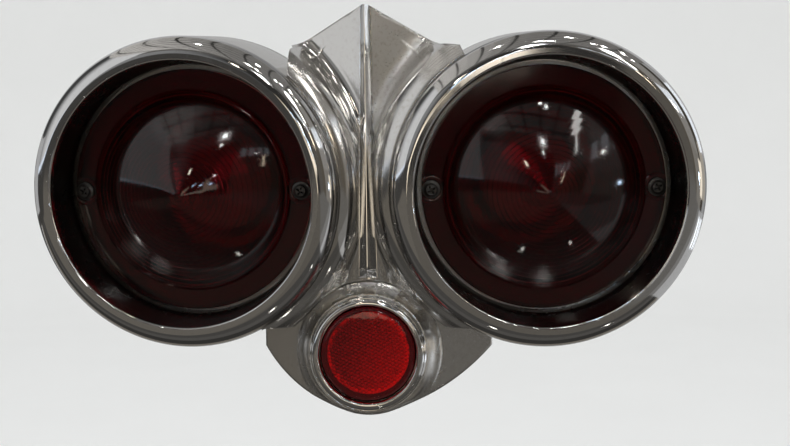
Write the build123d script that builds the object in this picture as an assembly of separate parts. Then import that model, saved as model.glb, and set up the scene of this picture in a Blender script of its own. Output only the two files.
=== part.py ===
# Twin round tail lamp for the end of a 1950s car's tail fin, in millimetres.
# Seen from behind the car: +X right, +Y towards the front of the car, +Z up.
# The origin is on the back of the gasket, level with the lamp centres.
# Depths are measured along a pod's axis from its mouth into the car.

from build123d import *
import math
import os

# bezels
MOUTH_R = 60.2
LIP_W = 3.2
LIP_BEVEL = 0.6
ROLL_W = 7.2
ROLL_DEPTH = 9.6
ROLL_BULGE = 2.3
SKIRT_L = 2.4
BEZEL_WALL = 2.5
THROAT_BULGE = 1.2
SLEEVE_TAPER = 2.4  # from the mouth in to the sleeve round the lens

# lenses
LENS_GAP = 2.1  # inside the sleeve
LENS_DEPTH = 20.0  # front of the flange behind the mouth
FLANGE_T = 3.5
DOME_SCREW_GAP = 5.9  # from the dome's edge to the screws' centres
DOME_STEP = 2.5
DOME_EDGE = 1.0
CONE_H = 21.0  # apex in front of the flange
CONE_BULGE = 2.2
APEX_R = 1.2
LENS_WALL = 3.0
LENS_GASKET_T = 2.5
LENS_GASKET_W = 12.7
EDGE_GAP = 0.4  # round the lens and its gasket

# lens screws
SCREW_EDGE = 4.3  # from the lens's edge to the screws' centres
SCREW_HEAD_R = 4.1
SCREW_HEAD_H = 2.6
SCREW_SHANK_R = 2.1
SCREW_L = 12.0
SCREW_HOLE_GAP = 0.2
SCREW_PAD_R = 6.4

# pressed steel buckets
SHEET_T = 1.0
BUCKET_SCREW_GAP = 2.8
BUCKET_TAPER = 8.5
BUCKET_L = 42.0
BUCKET_BEND_R = 8.0
BUCKET_BEND_BULGE = 1.6

# sockets and bulbs
SOCKET_R = 9.2
SOCKET_BORE_R = 7.8
SOCKET_FLANGE_R = 15.0
SOCKET_FLANGE_T = 2.0
SOCKET_FRONT_L = 15.0  # ahead of the bucket's back
SOCKET_REAR_L = 15.0  # behind it
BULB_BASE_R = 7.5
BULB_BASE_L = 19.0
BULB_R = 13.2
BULB_NECK_R = 6.8
BULB_L = 33.0  # glass ahead of the base

# flares, the rolled shoulders of the housing round the pods
FLARE_W = 8.9
FLARE_L = 11.0
FLARE_BULGE = 1.9
FLARE_FALL = 80.0  # degrees from the pod's face to the side of the flare

# where the pods stand
POD_GAP = 3.0  # from each flare to the middle of the lamp
POD_SPLAY = 5.0  # degrees that each pod turns outward
POD_TILT = 4.0  # degrees that the top of each mouth leans out over the lens
STANDOFF = 50.0  # mouth centres in front of the mounting plane

# housing casting
HOUSING_WALL = 3.0
SHELF_T = 3.0
SHELF_CLEAR = 1.0  # round the bucket
RIDGE_DEPTH = 20.0  # ridge of the centre web behind the mouths
ROOF_SLOPE = 22.0  # degrees that each facet falls away from the ridge
GABLE_TOP_Z = 86.0
GABLE_CORNER_ANGLE = 54.0  # degrees up round each pod
GABLE_CORNER_OUT = 3.2  # outside the flare
FLARE_END_LEFT = 46.5  # degrees up round the left pod where its flare ends at the bezel
FLARE_END_RIGHT = 58.5
FLARE_TIP_OUT = 6.4  # from the right bezel's rim to the tip of its flare
GABLE_EDGE_R = 1.5
WEB_FOOT_Z = -62.0
WEB_WALL = 4.0

# keel strip
KEEL_PROUD = 2.6  # ridge of the strip in front of the web's ridge
KEEL_SEAT = 1.8  # its flat back behind the web's ridge
KEEL_TOP_W = 3.7
KEEL_FOOT_W = 8.2
KEEL_TOP_GAP = 1.0
KEEL_FOOT_GAP = 1.5
KEEL_FACET_L = 4.5
KEEL_SIDE_GAP = 0.15

# reflector pod
REFLECTOR_Z = -74.0
REFLECTOR_LENS_R = 22.2
REFLECTOR_LENS_T = 5.0
REFLECTOR_DEPTH = 14.0  # face of the lens behind the mouths
REFLECTOR_RIM_W = 2.6
REFLECTOR_RIM_BULGE = 0.6
REFLECTOR_GASKET_T = 1.5
REFLECTOR_GASKET_W = 5.2
REFLECTOR_WALL = 3.0
RING_W = 4.5
RING_PROUD = 1.6
RING_H = 4.5
RING_BEVEL = 0.6
RING_BULGE = 0.9
COLLAR_EDGE = 1.9
COLLAR_W = 4.0
COVE_BULGE = 1.2
SEAT_GAP = 0.4  # between the reflector pod and the housing

# wings of the reflector pod
WING_DEPTH = 24.0
WING_SLOPE = 15.0
WING_TIP_Z = -72.5
WING_LEFT = 49.5
WING_LEFT_JOIN = 84.0  # degrees below level where the lower edge meets the collar
WING_RIGHT = 57.3
WING_RIGHT_JOIN = 78.0

# mounting
GASKET_T = 2.0
GASKET_W = 8.0
STUD_R = 3.175
STUD_ROOT_R = 4.0
STUD_ANGLE = 45.0
STUD_OUT = 22.0
STUD_IN = 12.0
BOSS_R = 8.0
BOSS_SINK = 0.4  # into the wall beside it
STUD_GAP = 0.4
REFLECTOR_STUD_X = 38.0
REFLECTOR_STUD_Z = -70.0
REFLECTOR_STUD_R = 2.4
REFLECTOR_STUD_ROOT_R = 3.2
REFLECTOR_STUD_IN = 8.0
REFLECTOR_BOSS_R = 6.0

BEZEL_R = MOUTH_R + LIP_W + ROLL_W
SLEEVE_R = MOUTH_R - SLEEVE_TAPER
SEAM_DEPTH = ROLL_DEPTH + SKIRT_L
LENS_R = SLEEVE_R - LENS_GAP
SCREW_CIRCLE_R = LENS_R - SCREW_EDGE
DOME_R = SCREW_CIRCLE_R - DOME_SCREW_GAP
BUCKET_FLANGE_R = SLEEVE_R - EDGE_GAP
BUCKET_R = SCREW_CIRCLE_R - SCREW_SHANK_R - BUCKET_SCREW_GAP
BUCKET_BACK_R = BUCKET_R - BUCKET_TAPER
SHELF_DEPTH = LENS_DEPTH + FLANGE_T + LENS_GASKET_T + SHEET_T
BUCKET_BACK = SHELF_DEPTH - SHEET_T + BUCKET_L
FLARE_R = BEZEL_R + FLARE_W
FLARE_DEPTH = SEAM_DEPTH + FLARE_L
POD_SPACING = 2 * (FLARE_R + POD_GAP)
RING_R = REFLECTOR_LENS_R + EDGE_GAP + RING_W
COLLAR_R = RING_R + COLLAR_EDGE
SEAT_R = COLLAR_R + COLLAR_W
KEEL_TOP_Z = GABLE_TOP_Z - KEEL_TOP_GAP
KEEL_FOOT_Z = REFLECTOR_Z + SEAT_R + KEEL_FOOT_GAP
STUD_CIRCLE_R = BEZEL_R - HOUSING_WALL - BOSS_R + BOSS_SINK
BACK_Y = -GASKET_T
PAST_BACK = STANDOFF * 1.5  # a depth that lies behind the mounting plane all round
REACH = POD_SPACING + GABLE_TOP_Z  # longer than the part, for cutting tools

SIDES = {"left": -1, "right": 1}


def pod_plane(side):
    """Mouth of one pod: local X outboard, local Z along the pod's axis into the car."""
    splay, tilt = math.radians(POD_SPLAY), math.radians(POD_TILT)
    into = Vector(-side * math.sin(splay) * math.cos(tilt), math.cos(splay) * math.cos(tilt), math.sin(tilt))
    outboard = Vector(side * math.cos(splay), math.sin(splay), 0)
    return Plane(origin=(side * POD_SPACING / 2, -STANDOFF, 0), x_dir=outboard, z_dir=into)


def axis_at_back(side):
    """Where one pod's axis passes through the mounting plane, as X and Z."""
    plane = pod_plane(side)
    point = plane.origin + plane.z_dir * (STANDOFF / plane.z_dir.Y)
    return point.X, point.Z


def on_pod(side, solid):
    return pod_plane(side).location * solid


def on_reflector(solid):
    """Solid turned about local Z, set on the reflector's axis with Z 0 at the mouths."""
    return Plane(origin=(0, -STANDOFF, REFLECTOR_Z), x_dir=(1, 0, 0), z_dir=(0, 1, 0)).location * solid


def turned(*edges):
    """Solid of revolution about local Z from edges given as (radius, depth), its seam clear of the screws."""
    return Rot(0, 0, 90) * revolve(Plane.XZ * make_face(Curve() + list(edges)), Axis.Z)


def path(points):
    """Straight edges through a list of points."""
    return [Line(a, b) for a, b in zip(points, points[1:])]


def polygon(points):
    return make_face(path(points + points[:1]))


def bulged(start, end, bulge):
    """Arc from start to end that stands off its chord by bulge, to the left of the way."""
    (x0, y0), (x1, y1) = start, end
    length = math.hypot(x1 - x0, y1 - y0)
    middle = ((x0 + x1) / 2 - (y1 - y0) / length * bulge, (y0 + y1) / 2 + (x1 - x0) / length * bulge)
    return ThreePointArc(start, middle, end)


def bore(radius, x, y, z0, z1):
    """Cylinder along local Z between two depths."""
    cylinder = Cylinder(radius, z1 - z0, align=(Align.CENTER, Align.CENTER, Align.MIN))
    return Pos(x, y, z0) * Rot(0, 0, 90) * cylinder


def tube(outer, inner, z0, z1):
    return bore(outer, 0, 0, z0, z1) - bore(inner, 0, 0, z0, z1)


def upright(face, y0, y1):
    """Face drawn in X and Z, extruded from y0 to y1."""
    return Pos(0, y1, 0) * extrude(Plane.XZ * face, y1 - y0)


def along_y(radius, x, z, y0, y1):
    return upright(Pos(x, z) * Circle(radius), y0, y1)


def in_front(y):
    """Everything in front of the plane at this Y."""
    return Pos(0, y, 0) * Box(2 * REACH, REACH, 2 * REACH, align=(Align.CENTER, Align.MAX, Align.CENTER))


def screw_places():
    return [(-SCREW_CIRCLE_R, 0), (SCREW_CIRCLE_R, 0)]


def drilled(solid, z0, z1):
    """Solid with the two lens screw holes."""
    for x, y in screw_places():
        solid -= bore(SCREW_SHANK_R + SCREW_HOLE_GAP, x, y, z0, z1)
    return solid


def bezel():
    roll_start = (MOUTH_R + LIP_W, 0)
    roll_end = (BEZEL_R, ROLL_DEPTH)
    skirt_in = BEZEL_R - BEZEL_WALL
    sleeve_out = SLEEVE_R + BEZEL_WALL
    throat = (MOUTH_R + LIP_W, BEZEL_WALL + LIP_BEVEL)
    return turned(
        Line((MOUTH_R, LIP_BEVEL), (MOUTH_R + LIP_BEVEL, 0)),
        Line((MOUTH_R + LIP_BEVEL, 0), roll_start),
        bulged(roll_start, roll_end, -ROLL_BULGE),
        Line(roll_end, (BEZEL_R, SEAM_DEPTH)),
        Line((BEZEL_R, SEAM_DEPTH), (skirt_in, SEAM_DEPTH)),
        Line((skirt_in, SEAM_DEPTH), (skirt_in, ROLL_DEPTH)),
        bulged((skirt_in, ROLL_DEPTH), throat, THROAT_BULGE),
        Line(throat, (sleeve_out, LENS_DEPTH)),
        Line((sleeve_out, LENS_DEPTH), (sleeve_out, SHELF_DEPTH)),
        Line((sleeve_out, SHELF_DEPTH), (SLEEVE_R, SHELF_DEPTH)),
        Line((SLEEVE_R, SHELF_DEPTH), (SLEEVE_R, LENS_DEPTH)),
        Line((SLEEVE_R, LENS_DEPTH), (MOUTH_R, LIP_BEVEL)),
    )


def lens():
    back = LENS_DEPTH + FLANGE_T
    step = LENS_DEPTH - DOME_STEP
    apex = LENS_DEPTH - CONE_H
    inner_r = DOME_R - LENS_WALL
    solid = turned(
        Line((0, apex + LENS_WALL), (0, apex)),
        Line((0, apex), (APEX_R, apex)),
        bulged((APEX_R, apex), (DOME_R, step), -CONE_BULGE),
        Line((DOME_R, step), (DOME_R + DOME_EDGE, LENS_DEPTH)),
        Line((DOME_R + DOME_EDGE, LENS_DEPTH), (LENS_R, LENS_DEPTH)),
        Line((LENS_R, LENS_DEPTH), (LENS_R, back)),
        Line((LENS_R, back), (inner_r, back)),
        Line((inner_r, back), (inner_r, step + LENS_WALL)),
        bulged((inner_r, step + LENS_WALL), (APEX_R, apex + LENS_WALL), CONE_BULGE),
        Line((APEX_R, apex + LENS_WALL), (0, apex + LENS_WALL)),
    )
    solid = drilled(solid, step, back + FLANGE_T)
    for x, y in screw_places():
        solid -= bore(SCREW_PAD_R, x, y, step - SCREW_HEAD_H, LENS_DEPTH)
    return solid


def lens_gasket():
    front = LENS_DEPTH + FLANGE_T
    back = front + LENS_GASKET_T
    return drilled(tube(LENS_R, LENS_R - LENS_GASKET_W, front, back), front, back)


def lens_screws():
    both = []
    for x, y in screw_places():
        head = bore(SCREW_HEAD_R, x, y, LENS_DEPTH - SCREW_HEAD_H, LENS_DEPTH)
        head = fillet(head.edges().sort_by(Axis.Z)[0], SCREW_HEAD_H / 2)
        both.append(head + bore(SCREW_SHANK_R, x, y, LENS_DEPTH, LENS_DEPTH + SCREW_L))
    return Compound(both)


def bucket():
    front = SHELF_DEPTH - SHEET_T
    slope_in = BUCKET_TAPER * (BUCKET_L - BUCKET_BEND_R) / BUCKET_L
    side_end = (BUCKET_R - slope_in, BUCKET_BACK - BUCKET_BEND_R)
    floor_start = (BUCKET_BACK_R - BUCKET_BEND_R, BUCKET_BACK)
    inner_side_end = (side_end[0] - SHEET_T, side_end[1])
    inner_floor_start = (floor_start[0], BUCKET_BACK - SHEET_T)
    solid = turned(
        Line((BUCKET_FLANGE_R, front), (BUCKET_R - SHEET_T, front)),
        Line((BUCKET_R - SHEET_T, front), inner_side_end),
        bulged(inner_side_end, inner_floor_start, BUCKET_BEND_BULGE),
        Line(inner_floor_start, (SOCKET_R, BUCKET_BACK - SHEET_T)),
        Line((SOCKET_R, BUCKET_BACK - SHEET_T), (SOCKET_R, BUCKET_BACK)),
        Line((SOCKET_R, BUCKET_BACK), floor_start),
        bulged(floor_start, side_end, -BUCKET_BEND_BULGE),
        Line(side_end, (BUCKET_R, SHELF_DEPTH)),
        Line((BUCKET_R, SHELF_DEPTH), (BUCKET_FLANGE_R, SHELF_DEPTH)),
        Line((BUCKET_FLANGE_R, SHELF_DEPTH), (BUCKET_FLANGE_R, front)),
    )
    return drilled(solid, front, SHELF_DEPTH)


def socket_front():
    return BUCKET_BACK - SOCKET_FRONT_L


def socket():
    front = socket_front()
    solid = bore(SOCKET_R, 0, 0, front, BUCKET_BACK + SOCKET_REAR_L)
    solid += bore(SOCKET_FLANGE_R, 0, 0, BUCKET_BACK, BUCKET_BACK + SOCKET_FLANGE_T)
    return solid - bore(SOCKET_BORE_R, 0, 0, front, front + BULB_BASE_L)


def bulb_base():
    return bore(BULB_BASE_R, 0, 0, socket_front(), socket_front() + BULB_BASE_L)


def bulb():
    base = socket_front()
    tip = base - BULB_L
    widest = tip + BULB_R
    neck = widest + math.sqrt(BULB_R**2 - BULB_NECK_R**2)
    return turned(
        Line((0, tip), (0, base)),
        Line((0, base), (BULB_NECK_R, base)),
        Line((BULB_NECK_R, base), (BULB_NECK_R, neck)),
        ThreePointArc((BULB_NECK_R, neck), (BULB_R, widest), (0, tip)),
    )


def drum():
    """Housing wall and inner shelf round one lamp, left long at the back."""
    inner = BEZEL_R - HOUSING_WALL
    shelf = tube(inner, BUCKET_R + SHELF_CLEAR, SHELF_DEPTH, SHELF_DEPTH + SHELF_T)
    return tube(BEZEL_R, inner, SEAM_DEPTH, PAST_BACK) + drilled(shelf, SHELF_DEPTH, SHELF_DEPTH + SHELF_T)


def drum_space(radius):
    """What a web leaves free for one lamp: the bezel, the bucket and the hollow drum."""
    return bore(radius, 0, 0, -STANDOFF, PAST_BACK)


def flare(inset):
    """Rolled flare round one pod, which falls away to the facets of the web."""
    outer_r, outer_depth = FLARE_R - inset, FLARE_DEPTH + inset
    seam = (BEZEL_R - inset, SEAM_DEPTH + inset)
    toe = (outer_r + (PAST_BACK - outer_depth) / math.tan(math.radians(FLARE_FALL)), PAST_BACK)
    return turned(
        Line((0, seam[1]), seam),
        bulged(seam, (outer_r, outer_depth), -FLARE_BULGE),
        Line((outer_r, outer_depth), toe),
        Line(toe, (0, PAST_BACK)),
        Line((0, PAST_BACK), (0, seam[1])),
    )


def roof(depth, slope, flat):
    """Prism with a vertical ridge, or a flat this far each side of X 0, this deep behind the mouths."""
    ridge_y = -STANDOFF + depth
    edge_y = ridge_y + (REACH - flat) * math.tan(math.radians(slope))
    section = [(flat, ridge_y), (REACH, edge_y), (REACH, REACH), (-REACH, REACH), (-REACH, edge_y)]
    section += [(-flat, ridge_y)] if flat else []
    return Pos(0, 0, -REACH) * extrude(polygon(section), 2 * REACH)


def tangent_point(side):
    """Where the reflector's seat circle meets the circle round one pod."""
    dx, dz = side * POD_SPACING / 2, -REFLECTOR_Z
    share = SEAT_R / math.hypot(dx, dz)
    return dx * share, REFLECTOR_Z + dz * share


def pod_edge_r():
    """Radius of the web's lower edge round each pod."""
    return math.hypot(POD_SPACING / 2, REFLECTOR_Z) - SEAT_R


def above(z):
    return Pos(0, z) * Rectangle(2 * REACH, REACH, align=(Align.CENTER, Align.MIN))


def beside_pod(side, radius, degrees):
    """Point at an angle up round one pod's middle from the side of the web, as X and Z."""
    turn = math.radians(degrees)
    return side * (POD_SPACING / 2 - radius * math.cos(turn)), radius * math.sin(turn)


def gable_corner():
    """Upper corner of the web just outside the right flare, as X and Z."""
    return beside_pod(1, FLARE_R + GABLE_CORNER_OUT, GABLE_CORNER_ANGLE)


def web_outline():
    half = POD_SPACING / 2
    corner_x, corner_z = gable_corner()
    gable = [
        (0, GABLE_TOP_Z),
        (corner_x, corner_z),
        beside_pod(1, BEZEL_R + FLARE_TIP_OUT, FLARE_END_RIGHT),
        (half, 0),
        (half, WEB_FOOT_Z),
        (-half, WEB_FOOT_Z),
        (-half, 0),
        beside_pod(-1, BEZEL_R, FLARE_END_LEFT),
        (-corner_x, corner_z),
    ]
    kept = above(tangent_point(1)[1])
    for side in SIDES.values():
        kept += Pos(side * half, 0) * Circle(pod_edge_r())
    return (polygon(gable) & kept) - Pos(0, REFLECTOR_Z) * Circle(SEAT_R)


def web_form(inset):
    """Ridged web and the flares that run into it, or the hollow behind them when given a wall."""
    ridge = RIDGE_DEPTH + (KEEL_SEAT + inset if inset else 0)
    solid = roof(ridge, ROOF_SLOPE, 0)
    for side in SIDES.values():
        solid += on_pod(side, flare(inset))
    outline = offset(web_outline(), -inset) if inset else web_outline()
    solid &= upright(outline, -STANDOFF, STANDOFF)
    for side in SIDES.values():
        solid -= on_pod(side, drum_space(BEZEL_R if inset else BEZEL_R - HOUSING_WALL / 2))
    return solid


def gable_edges(web):
    """The two edges where the facets end at the top."""
    straight = web.edges().filter_by(GeomType.LINE).filter_by_position(Axis.Y, -STANDOFF, BACK_Y)
    return straight.filter_by_position(Axis.Z, gable_corner()[1], GABLE_TOP_Z)


def keel():
    """Wedge strip down the ridge of the web, before its foot is cut."""
    front = -STANDOFF + RIDGE_DEPTH - KEEL_PROUD
    back = -STANDOFF + RIDGE_DEPTH + KEEL_SEAT
    edge = back - KEEL_SEAT / 2
    sections = []
    for z, width in ((KEEL_FOOT_Z, KEEL_FOOT_W), (KEEL_TOP_Z, KEEL_TOP_W)):
        half = width / 2
        section = polygon([(0, front), (half, edge), (half, back), (-half, back), (-half, edge)])
        sections.append(Plane.XY.offset(z) * section)
    return loft(sections, ruled=True)


def keel_strip():
    front = -STANDOFF + RIDGE_DEPTH - KEEL_PROUD
    rise = KEEL_PROUD + KEEL_SEAT / 2
    toe = [(front - rise, KEEL_FOOT_Z), (front + rise, KEEL_FOOT_Z), (front, KEEL_FOOT_Z + KEEL_FACET_L)]
    toe.append((front - rise, KEEL_FOOT_Z + KEEL_FACET_L))
    return keel() - extrude(Plane.YZ * polygon(toe), KEEL_FOOT_W, both=True)


def keel_slot():
    back = -STANDOFF + RIDGE_DEPTH + KEEL_SEAT
    low, high = KEEL_FOOT_W / 2 + KEEL_SIDE_GAP, KEEL_TOP_W / 2 + KEEL_SIDE_GAP
    plan = [(-low, KEEL_FOOT_Z), (low, KEEL_FOOT_Z), (high, KEEL_TOP_Z), (-high, KEEL_TOP_Z)]
    return upright(polygon(plan), -STANDOFF, back)


def stud_places():
    """Housing studs as X and Z, up and down on the outboard side of each pod."""
    reach_x = STUD_CIRCLE_R * math.cos(math.radians(STUD_ANGLE))
    reach_z = STUD_CIRCLE_R * math.sin(math.radians(STUD_ANGLE))
    places = []
    for side in SIDES.values():
        x, z = axis_at_back(side)
        places += [(x + side * reach_x, z + reach_z), (x + side * reach_x, z - reach_z)]
    return places


def stud(radius, root_r, root_l, x, z):
    """Threaded stud on a thicker root that is cast into the part."""
    return along_y(root_r, x, z, BACK_Y - root_l, 0) + along_y(radius, x, z, 0, STUD_OUT)


def housing():
    solid = web_form(0)
    solid = fillet(gable_edges(solid), GABLE_EDGE_R)
    for side in SIDES.values():
        solid += on_pod(side, drum())
    for x, z in stud_places():
        boss = along_y(BOSS_R, x, z, BACK_Y - STUD_IN - HOUSING_WALL, BACK_Y)
        for side in SIDES.values():
            boss -= on_pod(side, bore(BEZEL_R, 0, 0, -STANDOFF, SHELF_DEPTH + SHELF_T / 2))
        solid += boss
    solid &= in_front(BACK_Y)
    for x, z in stud_places():
        solid -= along_y(STUD_ROOT_R, x, z, BACK_Y - STUD_IN, BACK_Y)
    return solid - web_form(WEB_WALL) - keel_slot()


def housing_studs():
    return Compound([stud(STUD_R, STUD_ROOT_R, STUD_IN, x, z) for x, z in stud_places()])


def wing_edge(side, reach, join):
    """Lower edge of one wing, from its tip in an arc that touches the collar's circle."""
    turn = math.radians(join)
    tip = (side * reach, WING_TIP_Z)
    end = (side * COLLAR_R * math.cos(turn), REFLECTOR_Z - COLLAR_R * math.sin(turn))
    length = math.dist(tip, end)
    slant = math.atan2(tip[1] - end[1], abs(tip[0] - end[0])) - (math.pi / 2 - turn)
    bulge = length / 2 * math.tan(slant / 2)
    return tip, bulged(tip, end, side * bulge)


def reflector_outline(gap):
    top = WEB_FOOT_Z - gap
    left_tip, left_edge = wing_edge(-1, WING_LEFT, WING_LEFT_JOIN)
    right_tip, right_edge = wing_edge(1, WING_RIGHT, WING_RIGHT_JOIN)
    sides = path([left_edge @ 1, right_edge @ 1]) + path([right_tip, (right_tip[0], top), tangent_point(1)])
    sides += path([tangent_point(1), tangent_point(-1), (left_tip[0], top), left_tip])
    shape = make_face(Curve() + [left_edge, right_edge] + sides) + Pos(0, REFLECTOR_Z) * Circle(COLLAR_R)
    shape += Pos(0, REFLECTOR_Z) * Circle(SEAT_R - gap) & above(REFLECTOR_Z)
    for side in SIDES.values():
        shape -= Pos(side * POD_SPACING / 2, 0) * Circle(pod_edge_r() + gap) & above(top)
    return shape


def ring_front():
    return REFLECTOR_DEPTH - RING_PROUD


def ring_back():
    return ring_front() + RING_H


def lens_floor():
    return REFLECTOR_DEPTH + REFLECTOR_LENS_T + REFLECTOR_GASKET_T


def collar():
    """Coved collar that carries the ring and runs out into the wings."""
    top = (RING_R + EDGE_GAP, ring_back())
    foot = (SEAT_R + EDGE_GAP, WING_DEPTH + EDGE_GAP)
    return turned(
        Line((0, top[1]), top),
        bulged(top, foot, COVE_BULGE),
        Line(foot, (foot[0], PAST_BACK)),
        Line((foot[0], PAST_BACK), (0, PAST_BACK)),
        Line((0, PAST_BACK), (0, top[1])),
    )


def reflector_stud_places():
    return [(-REFLECTOR_STUD_X, REFLECTOR_STUD_Z), (REFLECTOR_STUD_X, REFLECTOR_STUD_Z)]


def reflector_hollow():
    """Hollow behind the wings and the lens seat, with the stud bosses left standing."""
    solid = roof(WING_DEPTH + REFLECTOR_WALL, WING_SLOPE, COLLAR_R)
    solid &= upright(offset(reflector_outline(SEAT_GAP), -REFLECTOR_WALL), -STANDOFF, BACK_Y)
    solid -= on_reflector(bore(RING_R, 0, 0, 0, lens_floor() + REFLECTOR_WALL))
    for side in SIDES.values():
        solid -= on_pod(side, drum_space(BEZEL_R + SEAT_GAP + REFLECTOR_WALL))
    for x, z in reflector_stud_places():
        solid -= along_y(REFLECTOR_BOSS_R, x, z, -STANDOFF, BACK_Y)
    return solid


def reflector_body():
    solid = roof(WING_DEPTH, WING_SLOPE, COLLAR_R) + on_reflector(collar())
    solid &= upright(reflector_outline(SEAT_GAP), -STANDOFF, BACK_Y)
    solid -= on_reflector(bore(REFLECTOR_LENS_R + EDGE_GAP, 0, 0, 0, lens_floor()))
    for side in SIDES.values():
        solid -= on_pod(side, drum_space(BEZEL_R + SEAT_GAP))
    for x, z in reflector_stud_places():
        solid -= along_y(REFLECTOR_STUD_ROOT_R, x, z, BACK_Y - REFLECTOR_STUD_IN, BACK_Y)
    return solid - reflector_hollow()


def reflector_ring():
    front, back = ring_front(), ring_back()
    inner = REFLECTOR_LENS_R + EDGE_GAP
    return turned(
        Line((inner, back), (inner, front + RING_BEVEL)),
        Line((inner, front + RING_BEVEL), (inner + RING_BEVEL, front)),
        bulged((inner + RING_BEVEL, front), (RING_R, back - RING_BEVEL), -RING_BULGE),
        Line((RING_R, back - RING_BEVEL), (RING_R, back)),
        Line((RING_R, back), (inner, back)),
    )


def reflector_lens():
    rim = REFLECTOR_LENS_R - REFLECTOR_RIM_W
    back = REFLECTOR_DEPTH + REFLECTOR_LENS_T
    shoulder = (REFLECTOR_LENS_R, REFLECTOR_DEPTH + REFLECTOR_RIM_W)
    return turned(
        Line((0, back), (0, REFLECTOR_DEPTH)),
        Line((0, REFLECTOR_DEPTH), (rim, REFLECTOR_DEPTH)),
        bulged((rim, REFLECTOR_DEPTH), shoulder, -REFLECTOR_RIM_BULGE),
        Line(shoulder, (REFLECTOR_LENS_R, back)),
        Line((REFLECTOR_LENS_R, back), (0, back)),
    )


def reflector_gasket():
    front = REFLECTOR_DEPTH + REFLECTOR_LENS_T
    return tube(REFLECTOR_LENS_R, REFLECTOR_LENS_R - REFLECTOR_GASKET_W, front, lens_floor())


def reflector_studs():
    sizes = REFLECTOR_STUD_R, REFLECTOR_STUD_ROOT_R, REFLECTOR_STUD_IN
    return Compound([stud(*sizes, x, z) for x, z in reflector_stud_places()])


def fender_gasket():
    """Rubber seal with the outline of the castings, open where the buckets pass."""
    solid = upright(web_outline() + reflector_outline(0), BACK_Y, 0)
    slab = upright(Rectangle(2 * REACH, 2 * REACH), BACK_Y, 0)
    for side in SIDES.values():
        solid += on_pod(side, bore(BEZEL_R, 0, 0, SEAM_DEPTH, PAST_BACK)) & slab
    for side in SIDES.values():
        solid -= on_pod(side, bore(BEZEL_R - GASKET_W, 0, 0, SEAM_DEPTH, PAST_BACK))
    for x, z in stud_places():
        solid += along_y(BOSS_R, x, z, BACK_Y, 0)
        solid -= along_y(STUD_ROOT_R + STUD_GAP, x, z, BACK_Y, 0)
    for x, z in reflector_stud_places():
        solid -= along_y(REFLECTOR_STUD_ROOT_R + STUD_GAP, x, z, BACK_Y, 0)
    return solid


def main():
    nodes = {
        "housing": housing(),
        "keel_strip": keel_strip(),
        "housing_studs": housing_studs(),
        "fender_gasket": fender_gasket(),
        "reflector_body": reflector_body(),
        "reflector_ring": on_reflector(reflector_ring()),
        "reflector_lens": on_reflector(reflector_lens()),
        "reflector_gasket": on_reflector(reflector_gasket()),
        "reflector_studs": reflector_studs(),
    }
    on_each_pod = {
        "bezel": bezel(),
        "lens": lens(),
        "lens_gasket": lens_gasket(),
        "lens_screws": lens_screws(),
        "bucket": bucket(),
        "socket": socket(),
        "bulb_base": bulb_base(),
        "bulb": bulb(),
    }
    for name, solid in on_each_pod.items():
        for side_name, side in SIDES.items():
            nodes[f"{name}_{side_name}"] = on_pod(side, solid)
    os.makedirs("parts", exist_ok=True)
    for name, solid in nodes.items():
        export_step(solid, f"parts/{name}.step")


main()
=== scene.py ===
# Looks of the twin round tail lamp: meshes, materials, studio and camera.
# Sizes are in millimetres and repeat the solids'; the meshes are scaled to metres.
# A pod's own frame has X outboard, Y up and Z as the depth behind its mouth.

import math
from functools import partial, reduce

import bmesh
import bpy
import numpy as np
from mathutils import Matrix, Vector

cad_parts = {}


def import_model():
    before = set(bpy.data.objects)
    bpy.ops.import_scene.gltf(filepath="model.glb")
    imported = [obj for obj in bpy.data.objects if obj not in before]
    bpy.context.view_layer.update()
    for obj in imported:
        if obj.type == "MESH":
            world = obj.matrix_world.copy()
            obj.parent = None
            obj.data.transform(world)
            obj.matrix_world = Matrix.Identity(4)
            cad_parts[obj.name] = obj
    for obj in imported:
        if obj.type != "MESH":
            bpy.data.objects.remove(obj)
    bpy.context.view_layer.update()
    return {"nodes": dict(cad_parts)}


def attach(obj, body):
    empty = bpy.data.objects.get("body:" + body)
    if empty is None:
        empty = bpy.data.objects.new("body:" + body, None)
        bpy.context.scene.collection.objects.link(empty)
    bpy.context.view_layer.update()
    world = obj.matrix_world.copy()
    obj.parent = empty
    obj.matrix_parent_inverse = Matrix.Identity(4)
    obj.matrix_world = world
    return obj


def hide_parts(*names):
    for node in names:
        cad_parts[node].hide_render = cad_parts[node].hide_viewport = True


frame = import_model()

MM = 0.001
SIDES = {"left": -1, "right": 1}
X, Y, Z = range(3)
BACKWARD = np.array([0.0, 1.0, 0.0])

# where the pods stand
POD_X = 82.5
STANDOFF = 50.0
POD_SPLAY = math.radians(5.0)
POD_TILT = math.radians(4.0)
BACK_Y = -2.0

# bezels
MOUTH_R = 60.2
LIP_W = 3.2
LIP_BEVEL = 0.6
BEZEL_R = 70.6
ROLL_DEPTH = 9.6
ROLL_BULGE = 2.3
SEAM_DEPTH = 12.0
BEZEL_WALL = 2.5
THROAT_BULGE = 1.2
SLEEVE_R = 57.8

# lenses
LENS_R = 55.7
LENS_DEPTH = 20.0
FLANGE_T = 3.5
DOME_R = 45.5
DOME_STEP = 2.5
CONE_H = 21.0
CONE_BULGE = 2.2
LENS_WALL = 3.0
RING_PITCH = 2.0
RING_STEP = 0.34
GROOVE_DEPTH = 0.20
APEX_R = 1.2
SCREW_CIRCLE_R = 51.4
SCREW_HEAD_R = 4.1
SCREW_HEAD_H = 2.6
SCREW_SHANK_R = 2.1
SCREW_L = 12.0
SCREW_PAD_R = 6.4
SCREW_PAD_H = 0.8

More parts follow.
